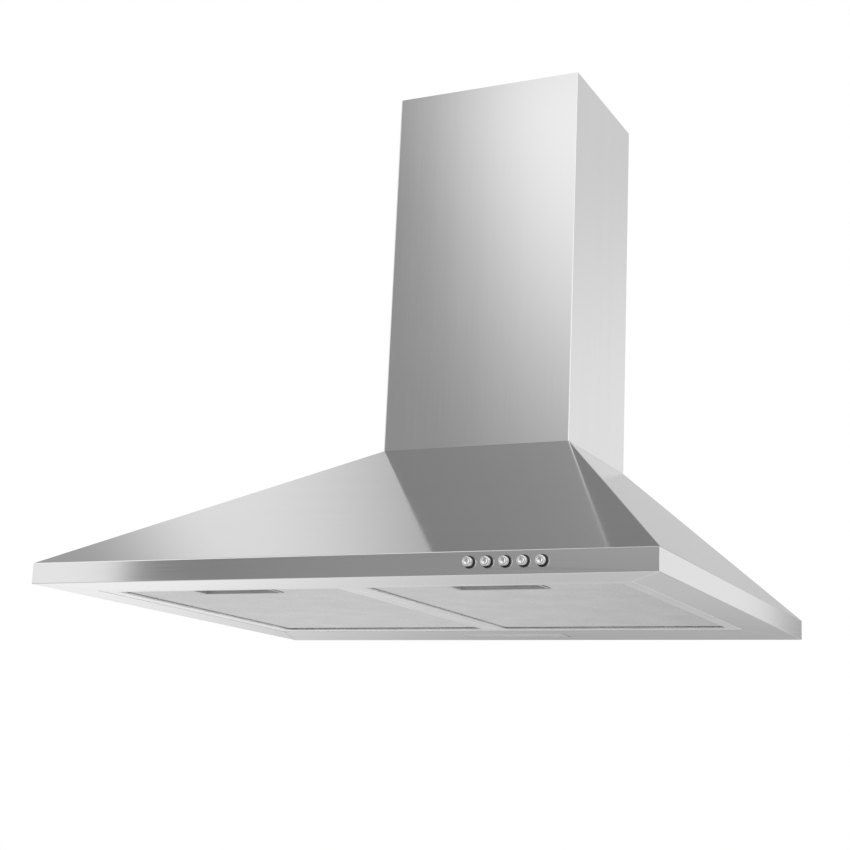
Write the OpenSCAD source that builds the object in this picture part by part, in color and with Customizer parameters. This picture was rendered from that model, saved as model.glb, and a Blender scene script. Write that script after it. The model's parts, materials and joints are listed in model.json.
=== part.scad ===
// Wall-mounted chimney range hood: a pyramid canopy with two drop-down grease filters, five push
// buttons, a lamp, a centrifugal blower with a backdraft collar, and a telescoping chimney.
// Millimetres. The origin is on the wall plane, at the canopy's bottom edge, in the middle of its
// width. X runs to the right seen from the front, Y runs into the wall and Z runs up.

/* [Canopy] */
// Width of the canopy
hood_w = 600; // [590:1:640]
// Depth of the canopy from the wall
hood_d = 488; // [480:1:500]
// Height of the upright lip
lip_h = 19.5; // [19:0.5:24]
// Height of the sloping part above the lip
slope_h = 163; // [160:1:180]
// Thickness of the steel sheet
sheet_t = 0.8; // [0.6:0.05:1]
// Outer radius of the bends in the chimney's covers
bend_r = 1.6; // [1.2:0.1:2]
// Bevel along the lip's lower edge
lip_bevel = 0.5; // [0.3:0.05:0.55]
// Radius of the holes for the wall screws
wall_hole_r = 4; // [3:0.25:5]
// Distance between the two upper wall screws
upper_screw_span = 190; // [180:5:200]
// Distance of the upper wall screws below the canopy's top
upper_screw_drop = 32.5; // [31:0.5:38]
// Distance between the two lower wall screws
lower_screw_span = 460; // [440:5:480]
// Height of the lower wall screws
lower_screw_z = 30; // [28:1:34]
// Width of each hanger plate behind the upper screw holes
hanger_w = 36; // [30:1:38]
// Height of each hanger plate
hanger_h = 30; // [24:1:32]
// Thickness of the hanger plates
hanger_t = 2; // [1.5:0.25:3]

/* [Chimney] */
// Width of the chimney cover
chimney_w = 210.5; // [205:0.5:216]
// Depth of the chimney cover
chimney_d = 172; // [168:1:178]
// Height of the chimney cover above the canopy
chimney_h = 404; // [380:1:450]
// Gap between the wall and the covers' back edges
wall_gap = 2; // [1.8:0.1:3]
// Clearance on each side between the sliding cover and the fixed one
slide_gap = 0.5; // [0.3:0.1:0.8]
// Height of the neck that locates the chimney cover
neck_h = 15; // [12:1:20]
// Distance of the sliding cover's top edge below the fixed cover's
upper_drop = 2; // [1:0.5:6]
// Number of vent slots on each side of the sliding cover
vent_count = 7; // [4:1:8]
// Length of a vent slot
vent_w = 90; // [60:5:110]
// Height of a vent slot
vent_h = 5; // [3:0.5:6]
// Pitch of the vent slots
vent_pitch = 11; // [10:0.5:14]
// Distance of the first vent slot below the sliding cover's top edge
vent_top = 45; // [42:1:60]
// Height of the chimney's wall bracket
bracket_h = 24; // [20:1:28]
// Thickness of the chimney's wall bracket
bracket_t = 1.5; // [1:0.1:1.6]
// Length of the bracket's arms along the sides
bracket_arm = 30; // [24:1:36]
// Distance between the bracket's wall screws
bracket_span = 120; // [100:5:140]
// Radius of the bracket's wall-screw holes
bracket_hole_r = 3; // [2.5:0.25:4]

/* [Underside] */
// Width of the strips at the left and right of the filters
side_strip = 37.5; // [36:0.5:44]
// Width of the strip in front of the filters
front_strip = 50; // [48:1:54]
// Width of the strip behind the filters
back_strip = 90; // [88:1:96]
// Height of the turned-up edge beside the filters
turn_h = 8; // [5:0.5:10]
// Width of the hem along the front and rear strips' inner edges
hem_w = 10; // [7:0.5:12]
// Open joint between the mitred strips
mitre_gap = 0.3; // [0.2:0.05:0.5]

/* [Filters] */
// Gap around each filter
filter_gap = 0.8; // [0.6:0.1:1]
// Height of the filters' lower face above the canopy's bottom edge
filter_z = 0.2; // [0.1:0.05:0.3]
// Thickness of a filter
filter_h = 9; // [8.6:0.1:10]
// Width of a filter's visible border
filter_border = 12.5; // [11:0.5:13.5]
// Height of the turned-up inner edge of a filter's border
border_up = 2; // [1.8:0.1:2.2]
// Wall of a filter's aluminium frame
filter_wall = 1; // [0.8:0.1:1.1]
// Thickness of the perforated sheet
mesh_t = 0.6; // [0.4:0.05:0.7]
// Number of slots across the perforated sheet
mesh_cols = 13; // [9:2:15]
// Number of rows of slots in the perforated sheet
mesh_rows = 18; // [12:1:19]
// Share of the pitch that a slot takes
slot_share = 0.62; // [0.5:0.02:0.7]
// Thickness of the pleated foil behind the sheet
foil_t = 0.3; // [0.2:0.05:0.5]
// Number of half pleats in the foil, from the left to the right
pleat_count = 72; // [60:2:80]
// Length of the lugs over the rear strip
lug_out = 5; // [4:0.25:6]
// Width of a lug
lug_w = 25; // [20:1:30]
// Thickness of a lug
lug_t = 1.5; // [1:0.1:2]
// Distance of a lug's middle from the filter's side
lug_inset = 45; // [35:1:60]

/* [Filter handles] */
// Width of the recessed cup
cup_w = 86; // [80:1:92]
// Depth of the recessed cup from front to back
cup_d = 30; // [28:0.5:34]
// Distance of the cup behind the front strip
cup_back = 20; // [19:0.5:24]
// Wall of the cup
cup_wall = 1.2; // [1:0.1:1.5]
// Width of the cup's rim
cup_rim = 2; // [1.8:0.1:2.5]
// Thickness of the cup's rim
rim_t = 0.5; // [0.4:0.05:0.8]
// Radius of the cup's corners
cup_r = 3.5; // [3.3:0.1:5]
// Width of the latch's finger tab
tab_w = 40; // [34:1:48]
// Depth of the finger tab
tab_d = 7; // [5:0.5:8]
// Height of the finger tab above the tongue's lower face
tab_h = 3.4; // [3:0.1:3.5]
// Width of the latch's tongue
tongue_w = 18; // [14:1:20]
// Thickness of the tongue
tongue_t = 2; // [1.5:0.1:2.4]
// Reach of the tongue over the front strip
tongue_out = 3.5; // [2.5:0.25:4]
// Gap between the latch and what it rests on or passes
latch_gap = 0.3; // [0.2:0.05:0.35]
// Travel of the latch
latch_travel = 5; // [4:0.5:5.5]
// Radius of the latch springs
latch_spring_r = 1.6; // [1.2:0.1:1.8]
// Radius of the latch springs' wire
latch_wire_r = 0.25; // [0.2:0.05:0.3]

/* [Lamp] */
// Width of the lamp's lens
lamp_w = 120; // [100:1:140]
// Depth of the lamp's lens
lamp_d = 30; // [26:1:34]
// Distance of the lens from the wall
lamp_back = 32.5; // [30:0.5:36]
// Thickness of the lens
lens_t = 2.5; // [2:0.25:4]
// Clearance around the lens
lens_gap = 0.2; // [0.1:0.05:0.4]
// Height of the lamp's housing
lamp_h = 18; // [15:1:24]
// Wall of the lamp's housing
lamp_wall = 3; // [2:0.5:4]
// Number of light-emitting diodes
led_count = 8; // [4:1:10]
// Side of a diode
led_w = 5; // [3:0.5:6]
// Height of a diode
led_h = 1.2; // [0.8:0.1:2]
// Thickness of the diodes' board
board_t = 1.6; // [1:0.1:2]

/* [Buttons] */
// Number of push buttons, one for each name in the list of nodes
button_count = 5; // [5:1:5]
// Radius of a button
button_r = 4; // [3.5:0.1:4.5]
// How far a button stands out of the lip
button_out = 6; // [4.5:0.5:7]
// Pitch of the buttons
button_pitch = 15.75; // [14:0.25:18]
// Distance of the last button from the lip's right end
button_end = 96; // [90:1:110]
// Height of the buttons' axes
button_z = 10.5; // [9.5:0.25:11]
// Travel of a button
button_travel = 3; // [2:0.25:3.5]
// Clearance around a button in its guide
button_gap = 0.15; // [0.1:0.05:0.25]
// Wall of a button's guide ring
guide_wall = 1; // [0.8:0.1:1.4]
// How far the guide ring stands out of the lip
guide_out = 0.8; // [0.5:0.1:1.2]
// Length of the guide ring behind the lip's face
guide_in = 4; // [3:0.5:5]
// Length of a button behind the lip's face
button_in = 7; // [6:0.5:8]
// Radius of a button's stem
stem_r = 2; // [1.5:0.1:2.2]
// Length of the springs between the buttons and the switch block
spring_l = 7; // [6.5:0.5:9]
// Radius of the springs' wire
wire_r = 0.3; // [0.2:0.05:0.35]
// Turns of a button's spring
spring_turns = 4; // [3:1:5]
// Depth of the switch block from front to back
block_d = 18; // [15:1:22]
// Height of the switch block
block_h = 17; // [16:0.5:18]
// Depth of a stem in the switch block at rest
stem_in = 10; // [8:0.5:11]

/* [Blower] */
// Outer radius of the impeller
impeller_r = 62; // [60:0.5:63]
// Radius of the impeller's bore between the blades
blade_in_r = 50; // [49.5:0.25:51]
// Width of each half of the impeller
blade_l = 48; // [44:1:50]
// Number of blades on each side
blade_count = 36; // [24:2:40]
// Thickness of a blade
blade_t = 1; // [0.8:0.1:1.4]
// Forward sweep of a blade's tip in degrees
blade_sweep = 11; // [6:1:14]
// Thickness of the impeller's middle plate and end rings
plate_t = 2; // [1.5:0.25:3]
// Gap between the impeller and the casing at the tongue
tongue_gap = 5; // [4:0.5:6]
// Growth of the volute's radius from the tongue to the outlet
volute_growth = 19; // [17:0.5:20]
// Angle of the tongue above the horizontal
tongue_a = 50; // [46:1:54]
// Wall of the blower's casing
casing_wall = 2; // [1.5:0.25:2.5]
// Gap between the impeller's end rings and the casing
casing_gap = 4; // [3.5:0.5:6]
// Distance of the impeller's axis below the canopy's top
impeller_drop = 70.5; // [69.5:0.5:71.5]
// Gap between the casing and the back panel
casing_back = 3; // [2:0.5:4]
// Height of the casing's mouth above the canopy
mouth_up = 22; // [20:1:30]
// Radius of the impeller's hub
hub_r = 10; // [9:0.5:12]
// Length of the hub on each side of the middle plate
hub_l = 8; // [6:0.5:10]
// Radius of the motor's shaft
shaft_r = 4; // [3:0.25:5]
// Running clearance of the shaft in the motor
shaft_gap = 0.06; // [0.04:0.01:0.1]
// Radius of the motor
motor_r = 34; // [30:0.5:36]
// Length of the motor
motor_l = 56; // [50:1:60]
// Gap between the hub and the motor
motor_gap = 4; // [3:0.5:6]
// Inner radius of the inlet rings
inlet_r = 46.5; // [46:0.25:47]
// Thickness of the inlet rings and the guard
inlet_t = 2; // [1.5:0.25:3]
// Outer radius of the inlet rings
inlet_out_r = 60; // [58:0.5:60]
// Width of the motor bracket's arms
arm_w = 9; // [7:0.5:12]
// Thickness of the motor bracket
arm_t = 3; // [2:0.25:4]

/* [Outlet] */
// Outer radius of the round duct collar
collar_r = 60; // [58:0.5:61]
// Height of the duct collar
collar_h = 45; // [40:1:55]
// Wall of the duct collar
collar_wall = 1.6; // [1.2:0.1:2]
// Thickness of the collar's base plate
base_t = 2.5; // [2:0.25:3]
// Height of the flaps' pin above the base plate
pin_up = 12; // [10:0.5:16]
// Radius of the flaps' pin
pin_r = 1.5; // [1.2:0.1:2]
// Running clearance of the flaps on their pin
pin_gap = 0.15; // [0.1:0.05:0.2]
// Wall of a flap's knuckles
knuckle_wall = 1.35; // [1.2:0.05:1.6]
// Thickness of a flap
flap_t = 1.2; // [1:0.1:1.4]
// Gap between the flaps and the collar's wall
flap_gap = 1.9; // [1.5:0.1:2.5]

/* [Electrics] */
// Width of the control box
box_w = 90; // [70:1:95]
// Height of the control box
box_h = 60; // [50:1:62]
// Depth of the control box
box_d = 32; // [26:1:36]
// Height of the control box's lower edge
box_z = 52; // [48:1:54]
// Radius of the capacitor
capacitor_r = 15; // [12:0.5:16]
// Length of the capacitor
capacitor_l = 46; // [40:1:52]
// Radius of the cable gland's body
gland_r = 8; // [6:0.5:9]

/* [Fasteners] */
// Radius of a small screw's shank
screw_r = 1.75; // [1.5:0.25:2]
// Radius of a small screw's head
screw_head_r = 3.4; // [3:0.2:3.8]
// Height of a small screw's head
screw_head_h = 1.8; // [1.4:0.2:2.2]
// Clearance of a screw in its hole
screw_gap = 0.1; // [0.05:0.05:0.2]

/* [Hidden] */
$fn = 64;

// How far a cut runs past the face it opens
overrun = 2;
// Clearance where one part of the fixed body is slipped against another
seat_gap = 0.2;

// The pyramid: how far each slope runs in while it climbs slope_h
canopy_h = lip_h + slope_h;
top_d = chimney_d + wall_gap;
upper_screw_z = canopy_h - upper_screw_drop;
run_x = (hood_w - chimney_w) / 2;
run_y = hood_d - top_d;

// The filters' opening between the four strips
open_w = hood_w - 2 * side_strip;
open_front = hood_d - front_strip;
open_d = open_front - back_strip;
hem_top = 2 * sheet_t;

// The plate that carries the blower just under the canopy's top, and the chimney's telescope
top_plate_t = 1.5;
top_plate_drop = 6;
top_plate_z = canopy_h - top_plate_drop;
neck_x = chimney_w / 2 - sheet_t * skew(run_x) - seat_gap;
neck_front = top_d - sheet_t * skew(run_y) - seat_gap;
neck_z = top_plate_z + top_plate_t;
neck_top = canopy_h + neck_h;
upper_clear = 3;
upper_z = neck_top + upper_clear;
upper_top = canopy_h + chimney_h - upper_drop;
upper_x = chimney_w / 2 - sheet_t - slide_gap;
upper_front = top_d - sheet_t - slide_gap;
upper_back = wall_gap + upper_clear / 2;
bracket_z = upper_top - bracket_h - seat_gap;
bracket_x = upper_x - sheet_t - seat_gap;

// A filter and the handle in it
filter_w = (open_w - 3 * filter_gap) / 2;
filter_d = open_d - 2 * filter_gap;
filter_y = -open_front + filter_gap;
mesh_z = filter_z + border_up;
core_z = mesh_z + mesh_t;
core_top = filter_z + filter_h - filter_wall;
cup_y = -open_front + cup_back;
cup_top = core_top - seat_gap;
rim_z = mesh_z - rim_t;
nose_z = hem_top + latch_gap;
tongue_z = core_z + seat_gap;
tab_y = cup_y + cup_rim + cup_wall + seat_gap;
shoulder_y = filter_y + filter_wall + seat_gap;
shoulder_d = 2;
shoulder_w = tongue_w + 4 * latch_spring_r + 4 * latch_wire_r;
slot_clear = 0.6;
latch_spring_x = tongue_w / 2 + latch_spring_r + latch_wire_r + seat_gap;

// The lamp, from the canopy's underside upwards
lamp_y = -lamp_back - lamp_d;
housing_top = sheet_t + lamp_h;
board_z = housing_top - lamp_wall - board_t;
board_edge = 3;
tab_out = 5;
clip_w = 10;
clip_foot = 8;

// The buttons, from the front face inwards
front_y = -hood_d;
guide_r = button_r + button_gap + guide_wall;
shoulder_in = front_y + button_in;
block_y = shoulder_in + spring_l;
block_wall = 3;
block_edge = 8;
stem_gap = 0.2;
button_edge = 0.6;
dish_r = 2.6;
dish_depth = 0.3;

// The blower: its axis runs along X
impeller_z = canopy_h - impeller_drop;
volute_r0 = impeller_r + tongue_gap;
volute_r1 = volute_r0 + volute_growth;
impeller_y = -(sheet_t + casing_back + casing_wall + volute_r(0));
casing_in = plate_t / 2 + blade_l + plate_t + casing_gap;
casing_out = casing_in + casing_wall;
volute_steps = 40;
mouth_z = canopy_h + mouth_up - impeller_z;
mouth_front = impeller_y - volute_r1 - casing_wall;
mouth_back = impeller_y + volute_r0 * cos(tongue_a) + casing_wall;
mouth_y = (mouth_front + mouth_back) / 2;
ear_w = 14;
ear_t = 3;
ear_in = 14;
hub_end = plate_t / 2 + hub_l;
motor_x = hub_end + motor_gap;
motor_end = motor_x + motor_l;
shaft_depth = 30;
throat_wall = 1.5;
throat_gap = 0.6;
throat_in = casing_in - casing_gap + throat_gap;
guard_bar = 2.4;
guard_rings = 4;
spoke_count = 6;
arm_count = 3;
cap_t = 3;

// The collar on the blower's mouth
base_z = canopy_h + mouth_up;
base_edge = 4;
pin_z = base_z + base_t + pin_up;
collar_in = collar_r - collar_wall;
flap_r = collar_in - flap_gap;
ledge_w = 4;
ledge_t = 1.5;
knuckle_r = pin_r + pin_gap + knuckle_wall;
knuckle_l = 18;
knuckle_gap = 0.5;
knuckle_slots = 4;
flap_start = knuckle_r + seat_gap;

// The electrics on the back panel and the top plate
box_wall = 2;
box_lid_t = 3;
gland_x = neck_x - 2 * gland_r;
gland_y = mouth_front + 2 * gland_r;
gland_collar = 3;
gland_up = 12;
strap_t = 1;
strap_w = 12;

// Facets of the wound wire
wire_sides = 6;
turn_steps = 8;

// Horizontal shift of a slope's inner face for each millimetre of sheet
function skew(run) = sqrt(run * run + slope_h * slope_h) / slope_h;
// Height at which the lip's face meets the slope's, inset by the sheet
function edge_z(inset, run) = lip_h - inset * (skew(run) - 1) * slope_h / run;
// Distance of a slope's face from the middle or the wall at height z
function reach(half, inset, run, z) = half - inset * skew(run) - (z - lip_h) * run / slope_h;
// Radius of the volute's inner face at angle a, which falls from the tongue to the front wall
function volute_r(a) = volute_r0 + volute_growth * (tongue_a - a) / (tongue_a + 180);
// The volute's outline with its walls moved out by w, and its mouth at height top
function volute(w, top) = concat(
    [for (i = [0 : volute_steps]) let (a = tongue_a - i * (tongue_a + 180) / volute_steps)
        (volute_r(a) + w) * [cos(a), sin(a)]],
    [[-volute_r1 - w, top], [volute_r0 * cos(tongue_a) + w, top]]);
// Middle of button i, counted from the left
function button_x(i) = hood_w / 2 - button_end - (button_count - 1 - i) * button_pitch;
// Left edge of a filter: side is -1 for the left one and 1 for the right one
function filter_x(side) = side < 0 ? -open_w / 2 + filter_gap : filter_gap / 2;
function filter_mid(side) = filter_x(side) + filter_w / 2;

// A 2D outline in Y and Z, extruded along X
module along_x(x, l) translate([x, 0, 0]) rotate([90, 0, 90]) linear_extrude(l) children();
// A 2D outline in X and Z, extruded along Y
module along_y(y, l) translate([0, y + l, 0]) rotate([90, 0, 0]) linear_extrude(l) children();
// Rods that start at x or y and run along that axis
module rod_x(r, x, l) translate([x, 0, 0]) rotate([0, 90, 0]) cylinder(r = r, h = l);
module rod_y(r, y, l) translate([0, y, 0]) rotate([-90, 0, 0]) cylinder(r = r, h = l);
// A box given by its lowest corner and its size
module box(low, size) translate(low) cube(size);
// A box centred on x, from y upwards and z upwards
module mid_box(x, y, z, size) translate([x - size[0] / 2, y, z]) cube(size);
// A pan-head screw along Z whose head lies under z = 0
module screw(l) {
    translate([0, 0, -screw_head_h]) difference() {
        cylinder(r1 = screw_head_r - screw_head_h / 4, r2 = screw_head_r, h = screw_head_h);
        for (a = [0, 90]) rotate(a)
            mid_box(0, -screw_head_r / 2, -overrun, [screw_r / 3, screw_head_r, overrun + screw_head_h / 2]);
    }
    cylinder(r = screw_r, h = l);
}
module screw_hole(l) translate([0, 0, -overrun]) cylinder(r = screw_r + screw_gap, h = l + 2 * overrun);

// A wound wire along Z: one tube swept along a helix, with its ends closed
module coil(r, wire, turns, l) {
    steps = turns * turn_steps;
    rise = (l - 2 * wire) / steps;
    points = [for (i = [0 : steps], k = [0 : wire_sides - 1]) let (
        a = 360 * i / turn_steps, b = 360 * k / wire_sides, q = r + wire * cos(b))
        [q * cos(a), q * sin(a), wire + i * rise + wire * sin(b)]];
    sides = [for (i = [0 : steps - 1], k = [0 : wire_sides - 1]) let (
        p = i * wire_sides + k, q = i * wire_sides + (k + 1) % wire_sides)
        each [[p, p + wire_sides, q], [q, p + wire_sides, q + wire_sides]]];
    first = [for (k = [1 : wire_sides - 2]) [0, k, k + 1]];
    last = [for (k = [1 : wire_sides - 2]) [0, k + 1, k] + steps * wire_sides * [1, 1, 1]];
    polyhedron(points, concat(sides, first, last));
}

// The canopy's solid form, inset by a sheet's thickness, with a bevel along its lower edge
module pyramid(inset, low, high) intersection() {
    along_y(-hood_d - overrun, hood_d + 2 * overrun) polygon([
        [-(hood_w / 2 - inset - lip_bevel), low], [hood_w / 2 - inset - lip_bevel, low],
        [hood_w / 2 - inset, low + lip_bevel], [hood_w / 2 - inset, edge_z(inset, run_x)],
        [reach(hood_w / 2, inset, run_x, high), high], [-reach(hood_w / 2, inset, run_x, high), high],
        [-(hood_w / 2 - inset), edge_z(inset, run_x)], [-(hood_w / 2 - inset), low + lip_bevel]]);
    along_x(-hood_w / 2 - overrun, hood_w + 2 * overrun) polygon([
        [-(hood_d - inset - lip_bevel), low], [overrun, low], [overrun, high],
        [-reach(hood_d, inset, run_y, high), high], [-(hood_d - inset), edge_z(inset, run_y)],
        [-(hood_d - inset), low + lip_bevel]]);
}
module pyramid_hollow() pyramid(sheet_t, -overrun, canopy_h + overrun);

module canopy_shell() color("silver") difference() {
    pyramid(0, 0, canopy_h);
    pyramid_hollow();
    box([-hood_w, -sheet_t, -overrun], [2 * hood_w, hood_d, canopy_h + 2 * overrun]);
    for (i = [0 : button_count - 1]) translate([button_x(i), 0, button_z])
        rod_y(guide_r, front_y - overrun, sheet_t + 2 * overrun);
}

module back_panel() color("silver") difference() {
    intersection() {
        pyramid(0, 0, canopy_h);
        box([-hood_w, -sheet_t, 0], [2 * hood_w, sheet_t, canopy_h]);
    }
    wall_holes(sheet_t);
}
module wall_holes(l) {
    for (s = [-1, 1]) {
        translate([s * upper_screw_span / 2, 0, upper_screw_z])
            rod_y(wall_hole_r, -l - overrun, l + 2 * overrun);
        translate([s * lower_screw_span / 2, 0, lower_screw_z])
            rod_y(wall_hole_r, -l - overrun, l + 2 * overrun);
    }
}
// Stiffening plates that take the hood's weight on the two upper wall screws
module hanger_plates() color("gainsboro") difference() {
    for (s = [-1, 1]) mid_box(s * upper_screw_span / 2, -sheet_t - hanger_t,
        upper_screw_z - hanger_h / 2, [hanger_w, hanger_t, hanger_h]);
    wall_holes(sheet_t + hanger_t);
}

// The four mitred strips that frame the filters
strip_x = hood_w / 2 - sheet_t;
strip_front = hood_d - sheet_t;
module front_flange() color("silver") {
    linear_extrude(sheet_t) polygon([[-strip_x + mitre_gap, -strip_front],
        [strip_x - mitre_gap, -strip_front], [open_w / 2 - mitre_gap, -open_front],
        [-open_w / 2 + mitre_gap, -open_front]]);
    mid_box(0, -open_front - hem_w, sheet_t, [open_w - 2 * hem_w, hem_w, sheet_t]);
}
module rear_flange() color("silver") difference() {
    union() {
        linear_extrude(sheet_t) polygon([[-strip_x + mitre_gap, -sheet_t],
            [-open_w / 2 + mitre_gap, -back_strip], [open_w / 2 - mitre_gap, -back_strip],
            [strip_x - mitre_gap, -sheet_t]]);
        mid_box(0, -back_strip, sheet_t, [open_w - 2 * hem_w, hem_w, sheet_t]);
    }
    mid_box(0, lamp_y, -overrun, [lamp_w, lamp_d, sheet_t + 2 * overrun]);
}
module side_flange(side) color("silver") mirror([side < 0 ? 1 : 0, 0, 0]) {
    linear_extrude(sheet_t) polygon([[strip_x, -strip_front], [strip_x, -sheet_t],
        [open_w / 2, -back_strip], [open_w / 2, -open_front]]);
    box([open_w / 2, -open_front + mitre_gap, 0], [sheet_t, open_d - 2 * mitre_gap, turn_h]);
}
module left_flange() side_flange(-1);
module right_flange() side_flange(1);

// The plate under the canopy's top that carries the blower
module top_frame() color("gainsboro") difference() {
    intersection() {
        pyramid(sheet_t + seat_gap, 0, canopy_h);
        box([-hood_w, -hood_d, top_plate_z], [2 * hood_w, hood_d - sheet_t - seat_gap, top_plate_t]);
    }
    box([-casing_out - seat_gap, mouth_front - seat_gap, top_plate_z - overrun],
        [2 * (casing_out + seat_gap), mouth_back - mouth_front + 2 * seat_gap,
            top_plate_t + 2 * overrun]);
    ear_screw_places() screw_hole(ear_t + top_plate_t);
    translate([gland_x, gland_y, top_plate_z - overrun])
        cylinder(r = gland_r + seat_gap, h = top_plate_t + 2 * overrun);
}
// The sheet neck that is welded to the plate and locates the chimney's cover
module chimney_neck() color("gainsboro") difference() {
    box([-neck_x, -neck_front, neck_z], [2 * neck_x, neck_front - wall_gap, neck_top - neck_z]);
    box([-neck_x + sheet_t, -neck_front + sheet_t, neck_z - overrun],
        [2 * (neck_x - sheet_t), neck_front - wall_gap - 2 * sheet_t, neck_top - neck_z + 2 * overrun]);
}

// The chimney's fixed cover and the one that slides up inside it: sheets with two bends each
module bent_outline(half, front, back, r) {
    translate([-half, -front + r]) square([2 * half, front - r - back]);
    translate([-half + r, -front]) square([2 * (half - r), 2 * r]);
    for (s = [-1, 1]) translate([s * (half - r), -front + r]) circle(r);
}
module u_cover(half, front, back, low, high) translate([0, 0, low]) linear_extrude(high - low)
    difference() {
        bent_outline(half, front, back, bend_r);
        bent_outline(half - sheet_t, front - sheet_t, back - overrun, bend_r - sheet_t);
    }
module chimney_cover() color("silver")
    u_cover(chimney_w / 2, top_d, wall_gap, canopy_h, canopy_h + chimney_h);
module chimney_upper() color("silver") difference() {
    u_cover(upper_x, upper_front, upper_back, upper_z, upper_top);
    for (i = [0 : vent_count - 1])
        box([-upper_x - overrun, -(upper_front + upper_back) / 2 - vent_w / 2,
            upper_top - vent_top - vent_h - i * vent_pitch],
            [2 * (upper_x + overrun), vent_w, vent_h]);
    bracket_screw_places() screw_hole(sheet_t + bracket_t);
}
// The strap that holds the sliding cover to the wall
module chimney_bracket() color("gainsboro") difference() {
    union() {
        mid_box(0, -bracket_t, bracket_z, [2 * bracket_x, bracket_t, bracket_h]);
        for (s = [-1, 1]) mid_box(s * (bracket_x - bracket_t / 2), -bracket_arm, bracket_z,
            [bracket_t, bracket_arm, bracket_h]);
    }
    for (s = [-1, 1]) translate([s * bracket_span / 2, 0, bracket_z + bracket_h / 2])
        rod_y(bracket_hole_r, -bracket_t - overrun, bracket_t + 2 * overrun);
    bracket_screw_places() screw_hole(sheet_t + bracket_t);
}
module bracket_screw_places() for (s = [-1, 1])
    translate([s * (bracket_x - bracket_t), -bracket_arm / 2, bracket_z + bracket_h / 2])
        rotate([0, s * 90, 0]) children();
module bracket_screws() color("darkgray") bracket_screw_places() screw(bracket_t + sheet_t);

// The lamp: a moulded housing over the rear strip's cut-out, a lens and a board of diodes
module lamp_housing() color("white") difference() {
    union() {
        mid_box(0, lamp_y - lamp_wall, sheet_t, [lamp_w + 2 * lamp_wall, lamp_d + 2 * lamp_wall, lamp_h]);
        mid_box(0, lamp_y + lamp_d / 2 - clip_w / 2, sheet_t,
            [lamp_w + 2 * lamp_wall + 2 * tab_out, clip_w, lamp_wall]);
    }
    mid_box(0, lamp_y, sheet_t - overrun, [lamp_w, lamp_d, lamp_h - lamp_wall + overrun]);
}
module lamp_lens() color("white", 0.6) mid_box(0, lamp_y + lens_gap, lens_gap,
    [lamp_w - 2 * lens_gap, lamp_d - 2 * lens_gap, lens_t]);
module lamp_board() {
    color("seagreen") mid_box(0, lamp_y + board_edge, board_z,
        [lamp_w - 2 * board_edge, lamp_d - 2 * board_edge, board_t]);
    color("lightyellow") for (i = [0 : led_count - 1])
        mid_box((i + 0.5 - led_count / 2) * (lamp_w - 2 * board_edge) / led_count,
            lamp_y + lamp_d / 2 - led_w / 2, board_z - led_h, [led_w, led_w, led_h]);
}
// Spring clips that stand on the strip and hold the housing's end tabs down
module lamp_clips() color("gainsboro") for (s = [-1, 1]) mirror([s < 0 ? 1 : 0, 0, 0])
    translate([lamp_w / 2 + lamp_wall + tab_out + seat_gap, 0, sheet_t])
        along_y(lamp_y + lamp_d / 2 - clip_w / 2, clip_w) polygon([
            [0, 0], [clip_foot, 0], [clip_foot, sheet_t], [sheet_t, sheet_t],
            [sheet_t, lamp_wall + seat_gap + sheet_t], [-tab_out, lamp_wall + seat_gap + sheet_t],
            [-tab_out, lamp_wall + seat_gap], [0, lamp_wall + seat_gap]]);

// The push buttons on the lip, their guide rings and springs, and the switch block behind them
module button(i) color("gainsboro") translate([button_x(i), 0, button_z]) {
    difference() {
        union() {
            rod_y(button_r, front_y - button_out + button_edge, button_out - button_edge + button_in);
            translate([0, front_y - button_out, 0]) rotate([-90, 0, 0])
                cylinder(r1 = button_r - button_edge, r2 = button_r, h = button_edge);
        }
        rod_y(dish_r, front_y - button_out - overrun, overrun + dish_depth);
    }
    rod_y(stem_r, shoulder_in, spring_l + stem_in);
}
module button_off() button(0);
module button_speed_1() button(1);
module button_speed_2() button(2);
module button_speed_3() button(3);
module button_light() button(4);
module button_guides() color("dimgray") for (i = [0 : button_count - 1])
    translate([button_x(i), 0, button_z]) difference() {
        rod_y(guide_r, front_y - guide_out, guide_out + guide_in);
        rod_y(guide_r - guide_wall, front_y - guide_out - overrun, guide_out + guide_in + 2 * overrun);
    }
module button_springs() color("darkgray") for (i = [0 : button_count - 1])
    translate([button_x(i), shoulder_in, button_z]) rotate([-90, 0, 0])
        coil((stem_r + button_r) / 2, wire_r, spring_turns, spring_l);
module switch_block() color("ivory") difference() {
    box([button_x(0) - block_edge, block_y, sheet_t],
        [(button_count - 1) * button_pitch + 2 * block_edge, block_d, block_h]);
    for (i = [0 : button_count - 1]) translate([button_x(i), 0, button_z])
        rod_y(stem_r + stem_gap, block_y - overrun, overrun + block_d - block_wall);
}

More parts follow.
